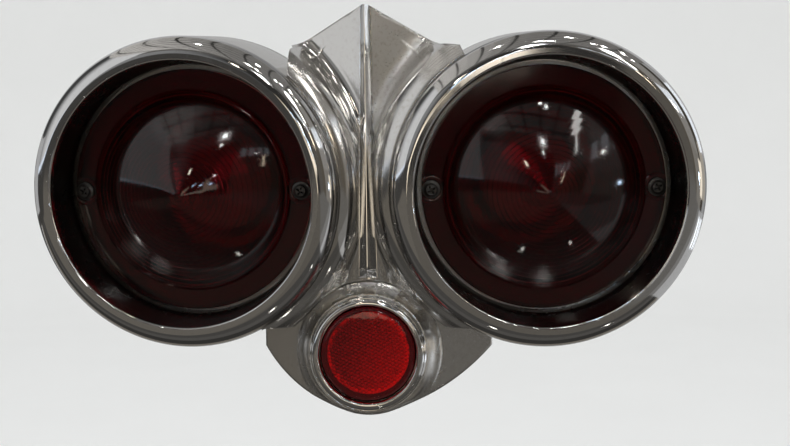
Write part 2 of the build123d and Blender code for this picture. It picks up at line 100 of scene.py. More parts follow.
# flares, web and gable
FLARE_R = 79.5
FLARE_DEPTH = 23.0
FLARE_FALL = math.radians(80.0)
RIDGE_Y = 20.0 - STANDOFF
ROOF_SLOPE = math.radians(22.0)
GABLE_TOP_Z = 86.0
GABLE_CORNER = (33.86, 66.9)
FLARE_TIP = (42.27, 65.65)
LEFT_FLARE_TOP_Z = 53.2
SEAM_GAP = 0.12
SEAM_EDGE_R = 0.25
GABLE_EDGE_R = 1.5
GABLE_END_R = 0.9
WEB_EDGE_R = 0.5
WEB_FOOT_Z = -62.0
CREASE_R = 6.0
WEB_ROWS = 80
SHELF_DEPTH = 27.0
SHELF_T = 3.0
SHELF_R = 47.5
HOUSING_WALL = 3.0

# keel strip
KEEL_PROUD = 2.6
KEEL_SEAT = 1.8
KEEL_TOP_W = 3.7
KEEL_FOOT_W = 8.2
KEEL_TOP_Z = 85.0
KEEL_FOOT_Z = -39.5
KEEL_FACET_L = 4.5
KEEL_GAP = 0.15

# studs
STUD_CIRCLE_R = 60.0
STUD_IN = 12.0
STUD_THREAD = 1.27
BOSS_R = 8.0

# reflector pod
REFLECTOR_Z = -74.0
REFLECTOR_LENS_R = 22.2
REFLECTOR_DEPTH = 14.0
REFLECTOR_LENS_T = 5.0
REFLECTOR_BORE_R = REFLECTOR_LENS_R + 0.4
REFLECTOR_FLOOR = 20.5
REFLECTOR_EDGE_R = 1.6
RING_R = 27.1
RING_FRONT = REFLECTOR_DEPTH - 1.6
RING_BACK = RING_FRONT + 4.5
COVE_BULGE = 1.2
COVE_BLEND = 2.4
WING_DEPTH = 24.0
WING_SLOPE = math.radians(15.0)
WING_TIP_Z = -72.5
# each wing: how far out its tip is, and the turn below the middle at which it leaves the collar
WINGS = {-1: (49.5, math.radians(84.0)), 1: (57.3, math.radians(78.0))}
COLLAR_R = 29.0
SEAT_R = 33.0
SEAT_GAP = 0.4
COVER_EDGE = 2.6
COVER_RIM = 1.2
COVER_HOLLOW = 2.2
PRISM_PITCH = 1.75
PRISM_LEAN = math.radians(-24)

# from the middle of a pod to the reflector's, and the height at which their circles meet
AXIS_GAP = math.hypot(POD_X, REFLECTOR_Z)
TANGENT_Z = REFLECTOR_Z * (1 - SEAT_R / AXIS_GAP)

# wear of clean chrome
CLEAN = 0.12

# strips that a wall's fading light is made of
STRIPS = 16


def unit(vector):
    """Vectors of length 1 along the last axis."""
    vector = np.array(vector, float)
    return vector / np.linalg.norm(vector, axis=-1, keepdims=True)


def smooth(value, low, high):
    """Smooth step from 0 at low to 1 at high."""
    t = np.clip((value - low) / (high - low), 0, 1)
    return t * t * (3 - 2 * t)


def blended(a, b, reach):
    """The smaller of two values, eased where they differ by less than reach."""
    mixed = np.clip(reach - np.abs(a - b), 0, None) / reach
    return np.minimum(a, b) - mixed * mixed * reach / 4


def bisected(shape, low, high, holds, rounds=30):
    """Values up to which a test holds, found by halving."""
    low, high = np.full(shape, low), np.full(shape, high)
    for _ in range(rounds):
        middle = (low + high) / 2
        held = holds(middle)
        low, high = np.where(held, middle, low), np.where(held, high, middle)
    return (low + high) / 2


def pod_axes(side):
    """Origin of one pod's mouth and its outboard, up and inward directions."""
    level = math.cos(POD_TILT)
    outboard = np.array([side * math.cos(POD_SPLAY), math.sin(POD_SPLAY), 0])
    into = np.array([-side * math.sin(POD_SPLAY) * level, math.cos(POD_SPLAY) * level, math.sin(POD_TILT)])
    up = np.cross(outboard, into) * side
    return np.array([side * POD_X, -STANDOFF, 0]), outboard, up, into


def round_pod(place, side=1):
    """Radius and depth of points about a pod's axis."""
    origin, _, _, into = pod_axes(side)
    off = place - origin
    depth = off @ into
    return np.linalg.norm(off - depth[..., None] * into, axis=-1), depth


def on_axis(_, points):
    """Points left in the frame of their own axis."""
    return points


def on_pod(side, points):
    """Points given as outboard, up and depth, in the part's frame."""
    origin, outboard, up, into = pod_axes(side)
    points = np.asarray(points, float)
    return origin + points[..., :1] * outboard + points[..., 1:2] * up + points[..., 2:] * into


def on_reflector(_, points):
    """The same for the reflector's axis, which points straight into the car."""
    points = np.asarray(points, float)
    return np.stack([points[..., 0], points[..., 2] - STANDOFF, points[..., 1] + REFLECTOR_Z], -1)


def full_turn(count):
    return np.linspace(0, 2 * math.pi, count, endpoint=False)


def arc(start, end, bulge, count=12):
    """Points on an arc from start to end that stands off its chord by bulge, to the left of the way."""
    (x0, y0), (x1, y1) = start, end
    chord = math.hypot(x1 - x0, y1 - y0)
    half = 2 * math.atan(2 * abs(bulge) / chord)
    radius = chord / 2 / math.sin(half)
    share = np.linspace(-half, half, count)
    along = 0.5 + np.sin(share) * radius / chord
    off = math.copysign(1, bulge) * (np.cos(share) - math.cos(half)) * radius
    nx, ny = -(y1 - y0) / chord, (x1 - x0) / chord
    return [(x0 + (x1 - x0) * a + nx * o, y0 + (y1 - y0) * a + ny * o) for a, o in zip(along, off)]


def line(start, end, step=3.0):
    """Points on a straight run, with a pair close to each end so that shading keeps the edge."""
    length = math.dist(start, end)
    inner = np.linspace(0, 1, max(2, int(length / step) + 1))
    share = sorted({0.0, min(0.3, 0.15 / length), *inner, max(0.7, 1 - 0.15 / length), 1.0})
    return [tuple(np.array(start) * (1 - s) + np.array(end) * s) for s in share]


def rounded(corners, radius, steps=3):
    """Closed profile through corner points with each corner cut by a small round."""
    out = []
    for k, corner in enumerate(corners):
        p, q, r = np.array(corners[k - 1]), np.array(corner), np.array(corners[(k + 1) % len(corners)])
        a, b = unit(p - q), unit(r - q)
        reach = min(radius, math.dist(p, q) * 0.4, math.dist(r, q) * 0.4)
        out += [tuple(q + a * reach * (1 - s) ** 2 + b * reach * s**2) for s in np.linspace(0, 1, steps + 1)]
    return out


def grid_faces(rows, columns, close_rows, close_columns):
    """Quads over a grid of points numbered row by row."""
    faces = []
    for i in range(rows if close_rows else rows - 1):
        for j in range(columns if close_columns else columns - 1):
            k, n = (i + 1) % rows, (j + 1) % columns
            faces.append((i * columns + j, i * columns + n, k * columns + n, k * columns + j))
    return faces


def capped(rows, columns):
    """Quads over rings of points, with a face over the first ring and one over the last."""
    caps = [tuple(range(columns - 1, -1, -1)), tuple(range((rows - 1) * columns, rows * columns))]
    return grid_faces(rows, columns, False, True) + caps


def turned(profile, place, side=1, segments=192, back_y=None):
    """Points and faces of a closed profile of radius and depth turned about an axis.
    Where back_y is given, deeper points stop at that plane of the part."""
    angle = full_turn(segments)
    profile = np.array(profile, float)
    radius, depth = profile[:, :1], profile[:, 1:]
    local = np.stack([radius * np.cos(angle), radius * np.sin(angle), depth + 0 * angle], -1)
    if back_y is not None:
        origin, outboard, up, into = pod_axes(side)
        limit = (back_y - origin[1] - local[..., 0] * outboard[1] - local[..., 1] * up[1]) / into[1]
        local[..., 2] = np.minimum(local[..., 2], limit)
    return place(side, local).reshape(-1, 3), grid_faces(len(profile), segments, True, True)


def rod(radius, start, end, segments, chamfer=0.3):
    """Round bar between two points, with chamfered ends."""
    start, end = np.array(start, float), np.array(end, float)
    axis = unit(end - start)
    side = unit(np.cross(axis, (0, 0, 1) if abs(axis[2]) < 0.9 else (1, 0, 0)))
    angle = full_turn(segments)
    ring = np.outer(np.cos(angle), side) + np.outer(np.sin(angle), np.cross(axis, side))
    length, neck, tip = math.dist(start, end), radius - chamfer, 0.01
    profile = ((tip, 0), (neck, 0), (radius, chamfer),
               (radius, length - chamfer), (neck, length), (tip, length))
    rows = [start + axis * along + ring * r for r, along in profile]
    return np.concatenate(rows), capped(len(rows), segments)


def joined(*parts):
    """Several lots of points and faces as one."""
    points, faces, start = [], [], 0
    for p, f in parts:
        points.append(np.asarray(p, float).reshape(-1, 3))
        faces += [tuple(start + i for i in face) for face in f]
        start += len(points[-1])
    return np.concatenate(points), faces


def linked(name, data):
    """Object with this data, in the scene."""
    thing = bpy.data.objects.new(name, data)
    bpy.context.scene.collection.objects.link(thing)
    return thing


def mesh_object(name, points, faces, scale=MM):
    """Object with a mesh of its own; its points are in millimetres unless a scale is given."""
    mesh = bpy.data.meshes.new(name)
    mesh.from_pydata((np.asarray(points, float).reshape(-1, 3) * scale).tolist(), [], faces)
    return linked(name, mesh)


def clean(mesh, merge):
    """Merges points closer than this many millimetres and turns all faces outward."""
    shape = bmesh.new()
    shape.from_mesh(mesh)
    bmesh.ops.remove_doubles(shape, verts=shape.verts, dist=merge * MM)
    bmesh.ops.dissolve_degenerate(shape, edges=shape.edges, dist=0.001 * MM)
    bmesh.ops.recalc_face_normals(shape, faces=shape.faces)
    shape.to_mesh(mesh)
    shape.free()


def piece(name, shape, material, node, sharp=40.0):
    """A mesh in the place of a node, smooth apart from edges sharper than this many degrees."""
    thing = mesh_object(name, *shape)
    clean(thing.data, 0.002)
    thing.data.shade_smooth()
    thing.data.set_sharp_from_angle(angle=math.radians(sharp))
    thing.data.materials.append(material)
    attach(thing, "root")
    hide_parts(node)
    return thing


def paint(thing, share, name="wear"):
    """Stores how worn each point is, or how much painted shade it holds: one number, or a function of its
    place in millimetres.
    """
    co = np.zeros(len(thing.data.vertices) * 3, np.float32)
    thing.data.vertices.foreach_get("co", co)
    places = co.reshape(-1, 3) / MM
    values = np.zeros(len(places)) + (share(places) if callable(share) else share)
    attribute = thing.data.attributes.new(name, "FLOAT", "POINT")
    attribute.data.foreach_set("value", np.clip(values, 0, 1).astype(np.float32))


class Nodes:
    """Short calls for building one material's shader nodes."""

    def __init__(self, name):
        self.material = bpy.data.materials.new(name)
        self.material.use_nodes = True
        self.tree = self.material.node_tree
        self.where = self.tree.nodes.new("ShaderNodeTexCoord").outputs["Object"]

    def put(self, socket, value):
        """Links a socket to another, or sets its number or colour."""
        if isinstance(value, bpy.types.NodeSocket):
            self.tree.links.new(value, socket)
        else:
            socket.default_value = (*value, 1) if socket.type == "RGBA" else value

    def fill(self, node, inputs):
        for key, value in inputs.items():
            self.put(node.inputs[key.replace("_", " ")], value)

    def add(self, kind, settings=(), **inputs):
        node = self.tree.nodes.new(kind)
        for key, value in dict(settings).items():
            setattr(node, key, value)
        self.fill(node, inputs)
        return node

    def surface(self, **inputs):
        """The material, once its shader's inputs are set."""
        self.fill(self.tree.nodes["Principled BSDF"], inputs)
        return self.material

    def stored(self, name):
        """Value that each point or face of the mesh holds under a name."""
        return self.add("ShaderNodeAttribute", {"attribute_name": name}).outputs["Fac"]

    def stretch(self, x, y, z):
        return self.add("ShaderNodeMapping", Vector=self.where, Scale=(x, y, z)).outputs[0]

    def noise(self, scale, detail=3.0, roughness=0.5, vector=None):
        return self.add("ShaderNodeTexNoise", Vector=vector or self.where, Scale=scale, Detail=detail,
                        Roughness=roughness).outputs["Fac"]

    def span(self, value, low, high, out_low=0.0, out_high=1.0):
        """Value mapped smoothly from low..high to out_low..out_high."""
        return self.add("ShaderNodeMapRange", {"interpolation_type": "SMOOTHSTEP"}, Value=value, From_Min=low,
                        From_Max=high, To_Min=out_low, To_Max=out_high).outputs[0]

    def math(self, operation, *values):
        node = self.add("ShaderNodeMath", {"operation": operation})
        for socket, value in zip(node.inputs, values):
            self.put(socket, value)
        return node.outputs[0]

    def times(self, *values):
        return reduce(partial(self.math, "MULTIPLY"), values)

    def total(self, *values):
        return reduce(partial(self.math, "ADD"), values)

    def mix(self, factor, a, b):
        """Colour a where factor is 0 and b where it is 1."""
        node = self.add("ShaderNodeMix", {"data_type": "RGBA"}, Factor=factor)
        self.put(node.inputs[6], a)
        self.put(node.inputs[7], b)
        return node.outputs[2]

    def bump(self, height, depth, under=None):
        """Normal of a relief this many millimetres deep, over another one."""
        node = self.add("ShaderNodeBump", Height=height, Distance=depth * MM)
        if under:
            self.put(node.inputs["Normal"], under)
        return node.outputs[0]


def chrome(name, color, pits, haze):
    """Old chrome plate: faint waves, fine scratches, pits that thicken with wear, a hazy film, and painted
    shade where the mesh stores it.
    """
    n = Nodes(name)
    wear = n.stored("wear")
    film = n.noise(45, 4, 0.6)
    spots = n.span(n.noise(620, 3, 0.65), 0.50, 0.70)
    cells = n.add("ShaderNodeTexVoronoi", Vector=n.where, Scale=900).outputs["Distance"]
    few = n.span(n.noise(160, 2, 0.7), 0.5, 0.7)
    pit = n.times(n.math("LESS_THAN", cells, n.math("MULTIPLY_ADD", wear, 0.16, 0.06 * pits)), few)
    scratch = n.total(n.span(n.noise(260, 2, 0.4, n.stretch(1.0, 1.0, 0.06)), 0.62, 0.70),
                      n.span(n.noise(300, 2, 0.4, n.stretch(0.05, 1.0, 1.0)), 0.64, 0.72))
    # painted shade: the stored darkening in the bezels' throats and seams turns the chrome dark and dull
    painted_shade = n.times(n.stored("painted_shade"), n.span(film, 0.2, 0.6, 0.85, 1.0))
    tint = n.mix(n.times(n.total(wear, 0.08), spots, 0.55), color, (0.52, 0.48, 0.43))
    tint = n.mix(n.times(pit, 0.85), tint, (0.07, 0.055, 0.045))
    tint = n.mix(painted_shade, tint, (0.075, 0.066, 0.060))
    rough = n.total(n.span(film, 0.3, 0.75, haze * 0.4, haze), n.times(wear, 0.30), n.times(pit, 0.35),
                    n.times(scratch, 0.05), n.times(painted_shade, 0.22))
    relief = n.bump(n.noise(28, 1, 0.4), 0.04)
    relief = n.bump(scratch, -0.0016, relief)
    relief = n.bump(n.noise(700, 2, 0.6), 0.0011, relief)
    relief = n.bump(n.times(wear, n.noise(1500, 3, 0.7)), 0.0035, relief)
    relief = n.bump(pit, -0.05, relief)
    return n.surface(Base_Color=tint, Metallic=1.0, Roughness=rough, Normal=relief)


def lens_red():
    """Dark red moulded plastic with a dusty, finely scratched face."""
    n = Nodes("lens_red")
    dust = n.span(n.noise(420, 4, 0.7), 0.55, 0.8)
    rough = n.total(n.span(n.noise(60, 3, 0.6), 0.3, 0.8, 0.06, 0.11), n.times(dust, 0.05))
    color = n.mix(n.times(dust, 0.15), (0.21, 0.004, 0.008), (0.28, 0.06, 0.06))
    scratch = n.span(n.noise(500, 2, 0.5, n.stretch(1, 1, 0.08)), 0.64, 0.7)
    relief = n.bump(scratch, -0.003, n.bump(n.noise(40, 2, 0.5), 0.05))
    return n.surface(Base_Color=color, Roughness=rough, IOR=1.49, Transmission_Weight=1.0, Normal=relief,
                     Specular_IOR_Level=0.24, Coat_Weight=0.22, Coat_Roughness=0.04, Coat_IOR=1.4)


def reflex_cover():
    """Clear red face of the reflector."""
    n = Nodes("reflex_cover")
    dust = n.span(n.noise(600, 4, 0.7), 0.6, 0.8)
    color = n.mix(n.times(dust, 0.2), (0.86, 0.05, 0.06), (0.7, 0.35, 0.32))
    return n.surface(Base_Color=color, Roughness=n.math("MULTIPLY_ADD", dust, 0.2, 0.02), IOR=1.49,
                     Transmission_Weight=1.0, Normal=n.bump(n.noise(90, 2, 0.5), 0.02))


def reflex_prisms():
    """Red prism faces with painted light: the brightness stored on each face, brighter toward the rim."""
    n = Nodes("reflex_prisms")
    # painted light: the brightness stored on each prism face picks between dark and bright red
    color = n.mix(n.stored("prism_painted_light"), (0.12, 0.001, 0.004), (1.0, 0.022, 0.04))
    grain = n.noise(900, 2, 0.5)
    return n.surface(Base_Color=color, Metallic=0.1, Roughness=n.span(grain, 0, 1, 0.28, 0.45),
                     Specular_IOR_Level=0.2, Normal=n.bump(grain, 0.01))


def rubber():
    """Matt black rubber with a pale bloom."""
    n = Nodes("rubber")
    bloom = n.span(n.noise(120, 4, 0.6), 0.45, 0.75)
    color = n.mix(bloom, (0.018, 0.018, 0.018), (0.045, 0.043, 0.041))
    relief = n.bump(n.noise(1300, 3, 0.6), 0.03, n.bump(n.noise(90, 2, 0.5), 0.12))
    return n.surface(Base_Color=color, Roughness=n.span(bloom, 0, 1, 0.62, 0.85), Normal=relief)


def old_steel(name, color, rough, rust=0.3, thread=None):
    """Plated or bare steel with a mottled, slightly rusted surface, and a thread along Y of a given pitch."""
    n = Nodes(name)
    mottle = n.noise(140, 5, 0.65)
    stain = n.span(n.noise(60, 4, 0.7), 0.55, 0.75)
    tint = n.mix(n.span(mottle, 0.35, 0.7), tuple(c * 0.72 for c in color), color)
    tint = n.mix(n.times(stain, rust), tint, (0.16, 0.09, 0.05))
    relief = n.bump(n.noise(900, 3, 0.6), 0.02, n.bump(mottle, 0.05))
    if thread:
        scale = math.pi / 10 / (thread * MM)
        turns = n.add("ShaderNodeTexWave", {"bands_direction": "Y"}, Vector=n.where, Scale=scale)
        relief = n.bump(turns.outputs["Fac"], 0.35, relief)
    return n.surface(Base_Color=tint, Metallic=1.0, Roughness=n.span(mottle, 0.3, 0.75, rough, rough + 0.2),
                     Normal=relief)


def brass():
    """Dull mottled brass."""
    n = Nodes("dull_brass")
    mottle = n.noise(160, 5, 0.65)
    tint = n.mix(n.span(mottle, 0.35, 0.7), (0.34, 0.25, 0.12), (0.62, 0.52, 0.30))
    return n.surface(Base_Color=tint, Metallic=1.0, Roughness=n.span(mottle, 0.3, 0.7, 0.28, 0.5),
                     Normal=n.bump(n.noise(800, 3, 0.6), 0.015))


def clear_glass():
    """Clear glass with a faint film."""
    n = Nodes("bulb_clear")
    film = n.span(n.noise(150, 3, 0.6), 0.4, 0.8, 0.0, 0.06)
    return n.surface(Base_Color=(0.95, 0.95, 0.93), Roughness=film, IOR=1.45, Transmission_Weight=1.0,
                     Normal=n.bump(n.noise(60, 2, 0.4), 0.05))


def bezel_profile():
    """Radius and depth round the wall: lip, roll, skirt, and the sleeve that runs in to the shelf."""
    lip_r = LIP_BEVEL + 0.2
    roll_r = MOUTH_R + LIP_W
    skirt_in = BEZEL_R - BEZEL_WALL
    sleeve_out = SLEEVE_R + BEZEL_WALL
    out = arc((MOUTH_R, lip_r), (MOUTH_R + lip_r, 0), 0.28, 6)
    out += line((MOUTH_R + LIP_BEVEL + 0.5, 0), (roll_r - 0.6, 0), 0.8)
    out += arc((roll_r, 0), (BEZEL_R, ROLL_DEPTH), -ROLL_BULGE, 22)
    out += [(BEZEL_R, ROLL_DEPTH + 0.3)] + line((BEZEL_R, ROLL_DEPTH + 1), (BEZEL_R, SEAM_DEPTH - 0.3))
    out += [(BEZEL_R - 0.1, SEAM_DEPTH - 0.08), (BEZEL_R - 0.35, SEAM_DEPTH)]
    out += [(skirt_in, SEAM_DEPTH), (skirt_in, ROLL_DEPTH)]
    out += arc((skirt_in, ROLL_DEPTH), (roll_r, BEZEL_WALL + LIP_BEVEL), THROAT_BULGE, 8)[1:]
    out += [(sleeve_out, LENS_DEPTH), (sleeve_out, SHELF_DEPTH), (SLEEVE_R, SHELF_DEPTH)]
    out += line((SLEEVE_R, SHELF_DEPTH), (SLEEVE_R, LENS_DEPTH))[1:]
    out += line((SLEEVE_R, LENS_DEPTH), (MOUTH_R, lip_r))[1:-1]
    return out


def throat_painted_shade(side, places):
    """Painted shade inside the bezel, weaker at the bottom near the mouth, in the seam with the flare, and on
    the part of the roll that faces the reflector."""
    origin, outboard, up, _ = pod_axes(side)
    radius, depth = round_pod(places, side)
    out, rise = (places - origin) @ outboard, (places - origin) @ up
    # the painted shade inside the throat is weaker at the bottom near the mouth
    shade_eased_low = smooth(-rise, 30, 60) * (1 - smooth(depth, 9, 18))
    # painted shade inside the throat, behind the lip
    inside = smooth(MOUTH_R + 1.2 - radius, 0, 1) * smooth(depth, 1.0, 3.5)
    # painted shade in the seam between the bezel and the flare
    seam = smooth(radius, BEZEL_R - 0.5, BEZEL_R - 0.1) * smooth(-out, 5, 35)
    # painted shade on the part of the roll that faces the reflector
    turn = math.radians(38)
    facing = -(out * math.cos(turn) + rise * math.sin(turn)) / radius
    shade = smooth(radius, 68.2, 69.0) * smooth(facing, 0.88, 0.96)
    return inside * (1 - 0.45 * shade_eased_low) + np.maximum(0.8 * seam, 0.75 * shade)


def bezels(material):
    for name, side in SIDES.items():
        shape = turned(bezel_profile(), on_pod, side, 288)
        ring = piece(f"bezel_{name}_trim", shape, material, f"bezel_{name}")
        paint(ring, CLEAN)
        # painted shade stored on the bezel: throat, seam and the roll facing the reflector
        paint(ring, partial(throat_painted_shade, side), "painted_shade")


def flare_distance(radius, depth):
    """Distance outside the flare's rolled profile, negative inside."""
    start, end = np.array([BEZEL_R, SEAM_DEPTH]), np.array([FLARE_R, FLARE_DEPTH])
    slant = math.atan2(end[1] - start[1], end[0] - start[0])
    arc_r = math.dist(start, end) / 2 / math.sin(FLARE_FALL - slant)
    normal = np.array([math.sin(FLARE_FALL), -math.cos(FLARE_FALL)])
    centre = end - normal * arc_r
    dr, dd = radius - centre[0], depth - centre[1]
    on_arc = np.hypot(dr, dd) - arc_r
    on_wall = (radius - end[0]) * normal[0] + (depth - end[1]) * normal[1]
    below = dr * math.cos(FLARE_FALL) + dd * math.sin(FLARE_FALL) > 0
    return np.where(below, on_wall, on_arc)


def keel_half(z):
    """Half the width of the strip at each height."""
    share = (z - KEEL_FOOT_Z) / (KEEL_TOP_Z - KEEL_FOOT_Z)
    return (KEEL_FOOT_W + (KEEL_TOP_W - KEEL_FOOT_W) * share) / 2


def slot_half(z):
    """Half the width of the strip's slot at each height."""
    return keel_half(z) + KEEL_GAP


def web_distance(place, crease):
    """Distance outside the right half of the web: its facet and its flare, blended in the crease."""
    facet = (RIDGE_Y + place[..., 0] * math.tan(ROOF_SLOPE) - place[..., 1]) * math.cos(ROOF_SLOPE)
    return blended(flare_distance(*round_pod(place)), facet, crease)


def web_skin(x, z):
    """Points of the web's skin in front of given places on the mounting plane."""
    gap = np.hypot(POD_X - slot_half(z), z) - FLARE_R
    crease = np.clip(gap * 0.8, 0.8, CREASE_R)

    def outside(y):
        return web_distance(np.stack([x, y, z], -1), crease) > 0

    return np.stack([x, bisected(x.shape, -STANDOFF - 8.0, 60.0, outside, 34), z], -1)


def web_limits(side, x, z):
    """Distance inside each edge of the web's half, with its outward way in X and Z: gable, keel,
    reflector's seat, pod and foot."""
    corner = np.array(GABLE_CORNER)
    gable = unit([GABLE_TOP_Z - corner[1], corner[0]])
    above_gable = (GABLE_TOP_Z - z) * gable[1] - x * gable[0]
    flat = np.zeros(x.shape)
    gable_way = np.stack([flat + gable[0], flat + gable[1]], -1)
    if side > 0:
        tip = np.array(FLARE_TIP)
        ledge = unit([corner[1] - tip[1], tip[0] - corner[0]])
        below_ledge = (corner[1] - z) * ledge[1] + (corner[0] - x) * ledge[0]
        on_ledge = below_ledge > above_gable
        above_gable = np.where(on_ledge, below_ledge, above_gable)
        gable_way = np.where(on_ledge[..., None], ledge, gable_way)
    to_seat, to_pod = np.stack([x, z - REFLECTOR_Z], -1), np.stack([x - POD_X, z], -1)
    seat_r, pod_r = np.linalg.norm(to_seat, axis=-1), np.linalg.norm(to_pod, axis=-1)
    return [
        (above_gable, gable_way),
        (x - slot_half(z), np.stack([flat - 1, flat], -1)),
        (seat_r - SEAT_R, -unit(to_seat)),
        (np.where(z < TANGENT_Z, AXIS_GAP - SEAT_R - pod_r, 99.0), unit(to_pod)),
        (z - WEB_FOOT_Z, np.stack([flat, flat - 1], -1)),
    ]


def nearest_limit(side, x, z):
    """Smallest distance inside the web's edges, which edge it is and the way out."""
    distances, ways = (np.stack(values) for values in zip(*web_limits(side, x, z)))
    which = np.argmin(distances, 0)
    return distances.min(0), which, np.take_along_axis(ways, which[None, ..., None], 0)[0]


def on_ray(turns, radius):
    """X and Z at a radius round the right pod's middle."""
    return POD_X - radius * np.cos(turns), radius * np.sin(turns)


def web_start(side, turns, inset):
    """Radius at which the skin starts: at the bezel's rim, or at the cut end of the left flare."""
    def before(radius):
        x, z = on_ray(turns, radius)
        covered = round_pod(web_skin(x, z))[0] < BEZEL_R + SEAM_GAP + inset
        return covered | ((x > GABLE_CORNER[0] - inset - 0.3) & (z > 0)) if side < 0 else covered

    return bisected(turns.shape, 66.0, 100.0, before)


def web_end(side, turns, inset):
    """Radius at which the skin comes within inset of the web's outline."""
    def within(radius):
        return nearest_limit(side, *on_ray(turns, radius))[0] > inset

    return bisected(turns.shape, 70.0, 130.0, within)


def edge_turns(side):
    """Directions round the right pod, up from inboard, with the outline's corners among them."""
    corner_x, corner_z = GABLE_CORNER
    cut_end = [(corner_x - 0.5, corner_z - 1.6), (corner_x, LEFT_FLARE_TOP_Z)]
    corners = [FLARE_TIP, GABLE_CORNER] if side > 0 else cut_end
    corners += [
        (slot_half(KEEL_TOP_Z), KEEL_TOP_Z - 0.2),
        (slot_half(KEEL_FOOT_Z), KEEL_FOOT_Z - 1.0),
        (POD_X * SEAT_R / AXIS_GAP, TANGENT_Z),
        (POD_X - math.sqrt((AXIS_GAP - SEAT_R) ** 2 - WEB_FOOT_Z**2), WEB_FOOT_Z),
        (POD_X - math.sqrt(BEZEL_R**2 - WEB_FOOT_Z**2), WEB_FOOT_Z),
    ]
    keys = sorted((math.atan2(z, POD_X - x) for x, z in corners), reverse=True)
    step, reach = 0.8, 80
    turns = []
    for a, b in zip(keys, keys[1:]):
        turns += list(np.linspace(a, b, max(3, int(abs(b - a) * reach / step)), endpoint=False))
    return np.array(turns + [keys[-1]])


def rolled(share, radius, sideways, down):
    """Steps away from a face's end, round an edge, by a share of a right angle."""
    turn = math.pi / 2 * share
    return sideways * (radius * math.sin(turn)) + down * (radius * (1 - math.cos(turn)))


def web_half(side):
    """Closed half of the web, as on the right: skin, rounded edges, side walls and flat back."""
    turns = edge_turns(side)
    x, z = on_ray(turns, web_end(side, turns, 0.0))
    _, which, way = nearest_limit(side, x, z)
    at_gable, at_keel = which == 0, which == 1
    gable_r = GABLE_END_R + (GABLE_EDGE_R - GABLE_END_R) * smooth(GABLE_CORNER[0] - x, 0.5, 5)
    round_r = np.where(at_gable, gable_r, WEB_EDGE_R)
    start_r = web_start(side, turns, SEAM_EDGE_R)
    end_r = np.maximum(web_end(side, turns, np.where(at_keel, 0.0, round_r)), start_r + 0.2)
    radius = start_r + (end_r - start_r) * np.linspace(0, 1, 240)[:, None] ** 1.4
    steps = np.linalg.norm(np.diff(web_skin(*on_ray(turns, radius)), axis=0), axis=-1)
    run = np.concatenate([np.zeros((1, len(turns))), np.cumsum(steps, 0)])
    even = [np.interp(np.linspace(0, s[-1], WEB_ROWS), s, r) for s, r in zip(run.T, radius.T)]
    skin = web_skin(*on_ray(turns, np.stack(even, 1)))

    outward = np.stack([way[:, 0], 0 * turns, way[:, 1]], -1)
    brink = skin[-1]
    beside_keel = (brink[:, 2] > KEEL_FOOT_Z) & (brink[:, 2] < KEEL_TOP_Z)
    floor_y = np.where(beside_keel, RIDGE_Y + KEEL_SEAT, brink[:, 1])
    edge = []
    for share in np.linspace(0, 1, 7)[1:]:
        slot = brink.copy()
        slot[:, 1] += (floor_y - brink[:, 1]) * min(1, share * 2)
        slot[:, 0] *= min(1, 2 - share * 2)
        over = brink + rolled(share, round_r[:, None], outward, BACKWARD)
        edge.append(np.where(at_keel[:, None], slot, over))
    walls = [edge[-1] + BACKWARD * (BACK_Y - edge[-1][:, 1:2]) * share for share in (0.5, 1.0)]

    origin, _, _, into = pod_axes(1)
    first = skin[0]
    at_rim = (round_pod(first)[0] < BEZEL_R + SEAM_GAP + 0.4)[:, None]
    off = first - origin
    inward = np.where(at_rim, unit((off @ into)[:, None] * into - off), [1.0, 0, 0])
    down = np.where(at_rim, into, BACKWARD)
    lead = [first + rolled(share, SEAM_EDGE_R, inward, down) for share in np.linspace(1, 0, 5)[:-1]]
    foot = lead[0] + down * ((BACK_Y - lead[0][:, 1]) / down[:, 1])[:, None]
    return np.stack([(foot + lead[0]) / 2, *lead, *skin, *edge, *walls, foot])


def web():
    """Both halves of the web as one closed form without a wall on the middle plane."""
    parts = []
    for side in SIDES.values():
        loop = web_half(side)
        rows, columns = loop.shape[:2]
        points = loop.reshape(-1, 3)
        faces = grid_faces(rows, columns, True, False)
        faces += [tuple(range(0, rows * columns, columns)), tuple(range(rows * columns - 1, 0, -columns))]
        on_middle = np.abs(points[:, 0]) < 1e-6
        faces = [f for f in faces if not all(on_middle[i] for i in f)]
        if side < 0:
            points, faces = points * [-1, 1, 1], [tuple(reversed(f)) for f in faces]
        parts.append((points, faces))
    return joined(*parts)


def stud_places():
    """Housing studs as X and Z, up and down on the outboard side of each pod."""
    places = []
    reach = STUD_CIRCLE_R * math.sin(math.pi / 4)
    for side in SIDES.values():
        origin, _, _, into = pod_axes(side)
        axis = origin + into * (STANDOFF / into[1])
        places += [(axis[0] + side * reach, axis[2] + up) for up in (reach, -reach)]
    return places


def collar_distance(p):
    return np.hypot(p[:, 0], p[:, 2] - REFLECTOR_Z)


def housing_wear(p):
    """Scuffed right facet and keel seat, brushed flares, and a dull rim round the reflector's seat."""
    x, y, z = p[:, 0], p[:, 1], p[:, 2]
    facet = smooth(x, 1, 5) * (1 - smooth(x, 22, 30)) * smooth(z, 12, 42) * smooth(-y, 14, 16)
    facet *= 1 - smooth(-y, 31, 36)
    seat = (1 - smooth(np.abs(x), 2, 8)) * smooth(z, 0, 30)
    flare = (1 - smooth(np.hypot(np.abs(x) - POD_X, z), 80, 87)) * smooth(z, -20, 15)
    collar = 1 - smooth(collar_distance(p), 37, 44)
    return CLEAN + 0.75 * facet + 0.25 * seat + 0.26 * flare + 0.40 * collar


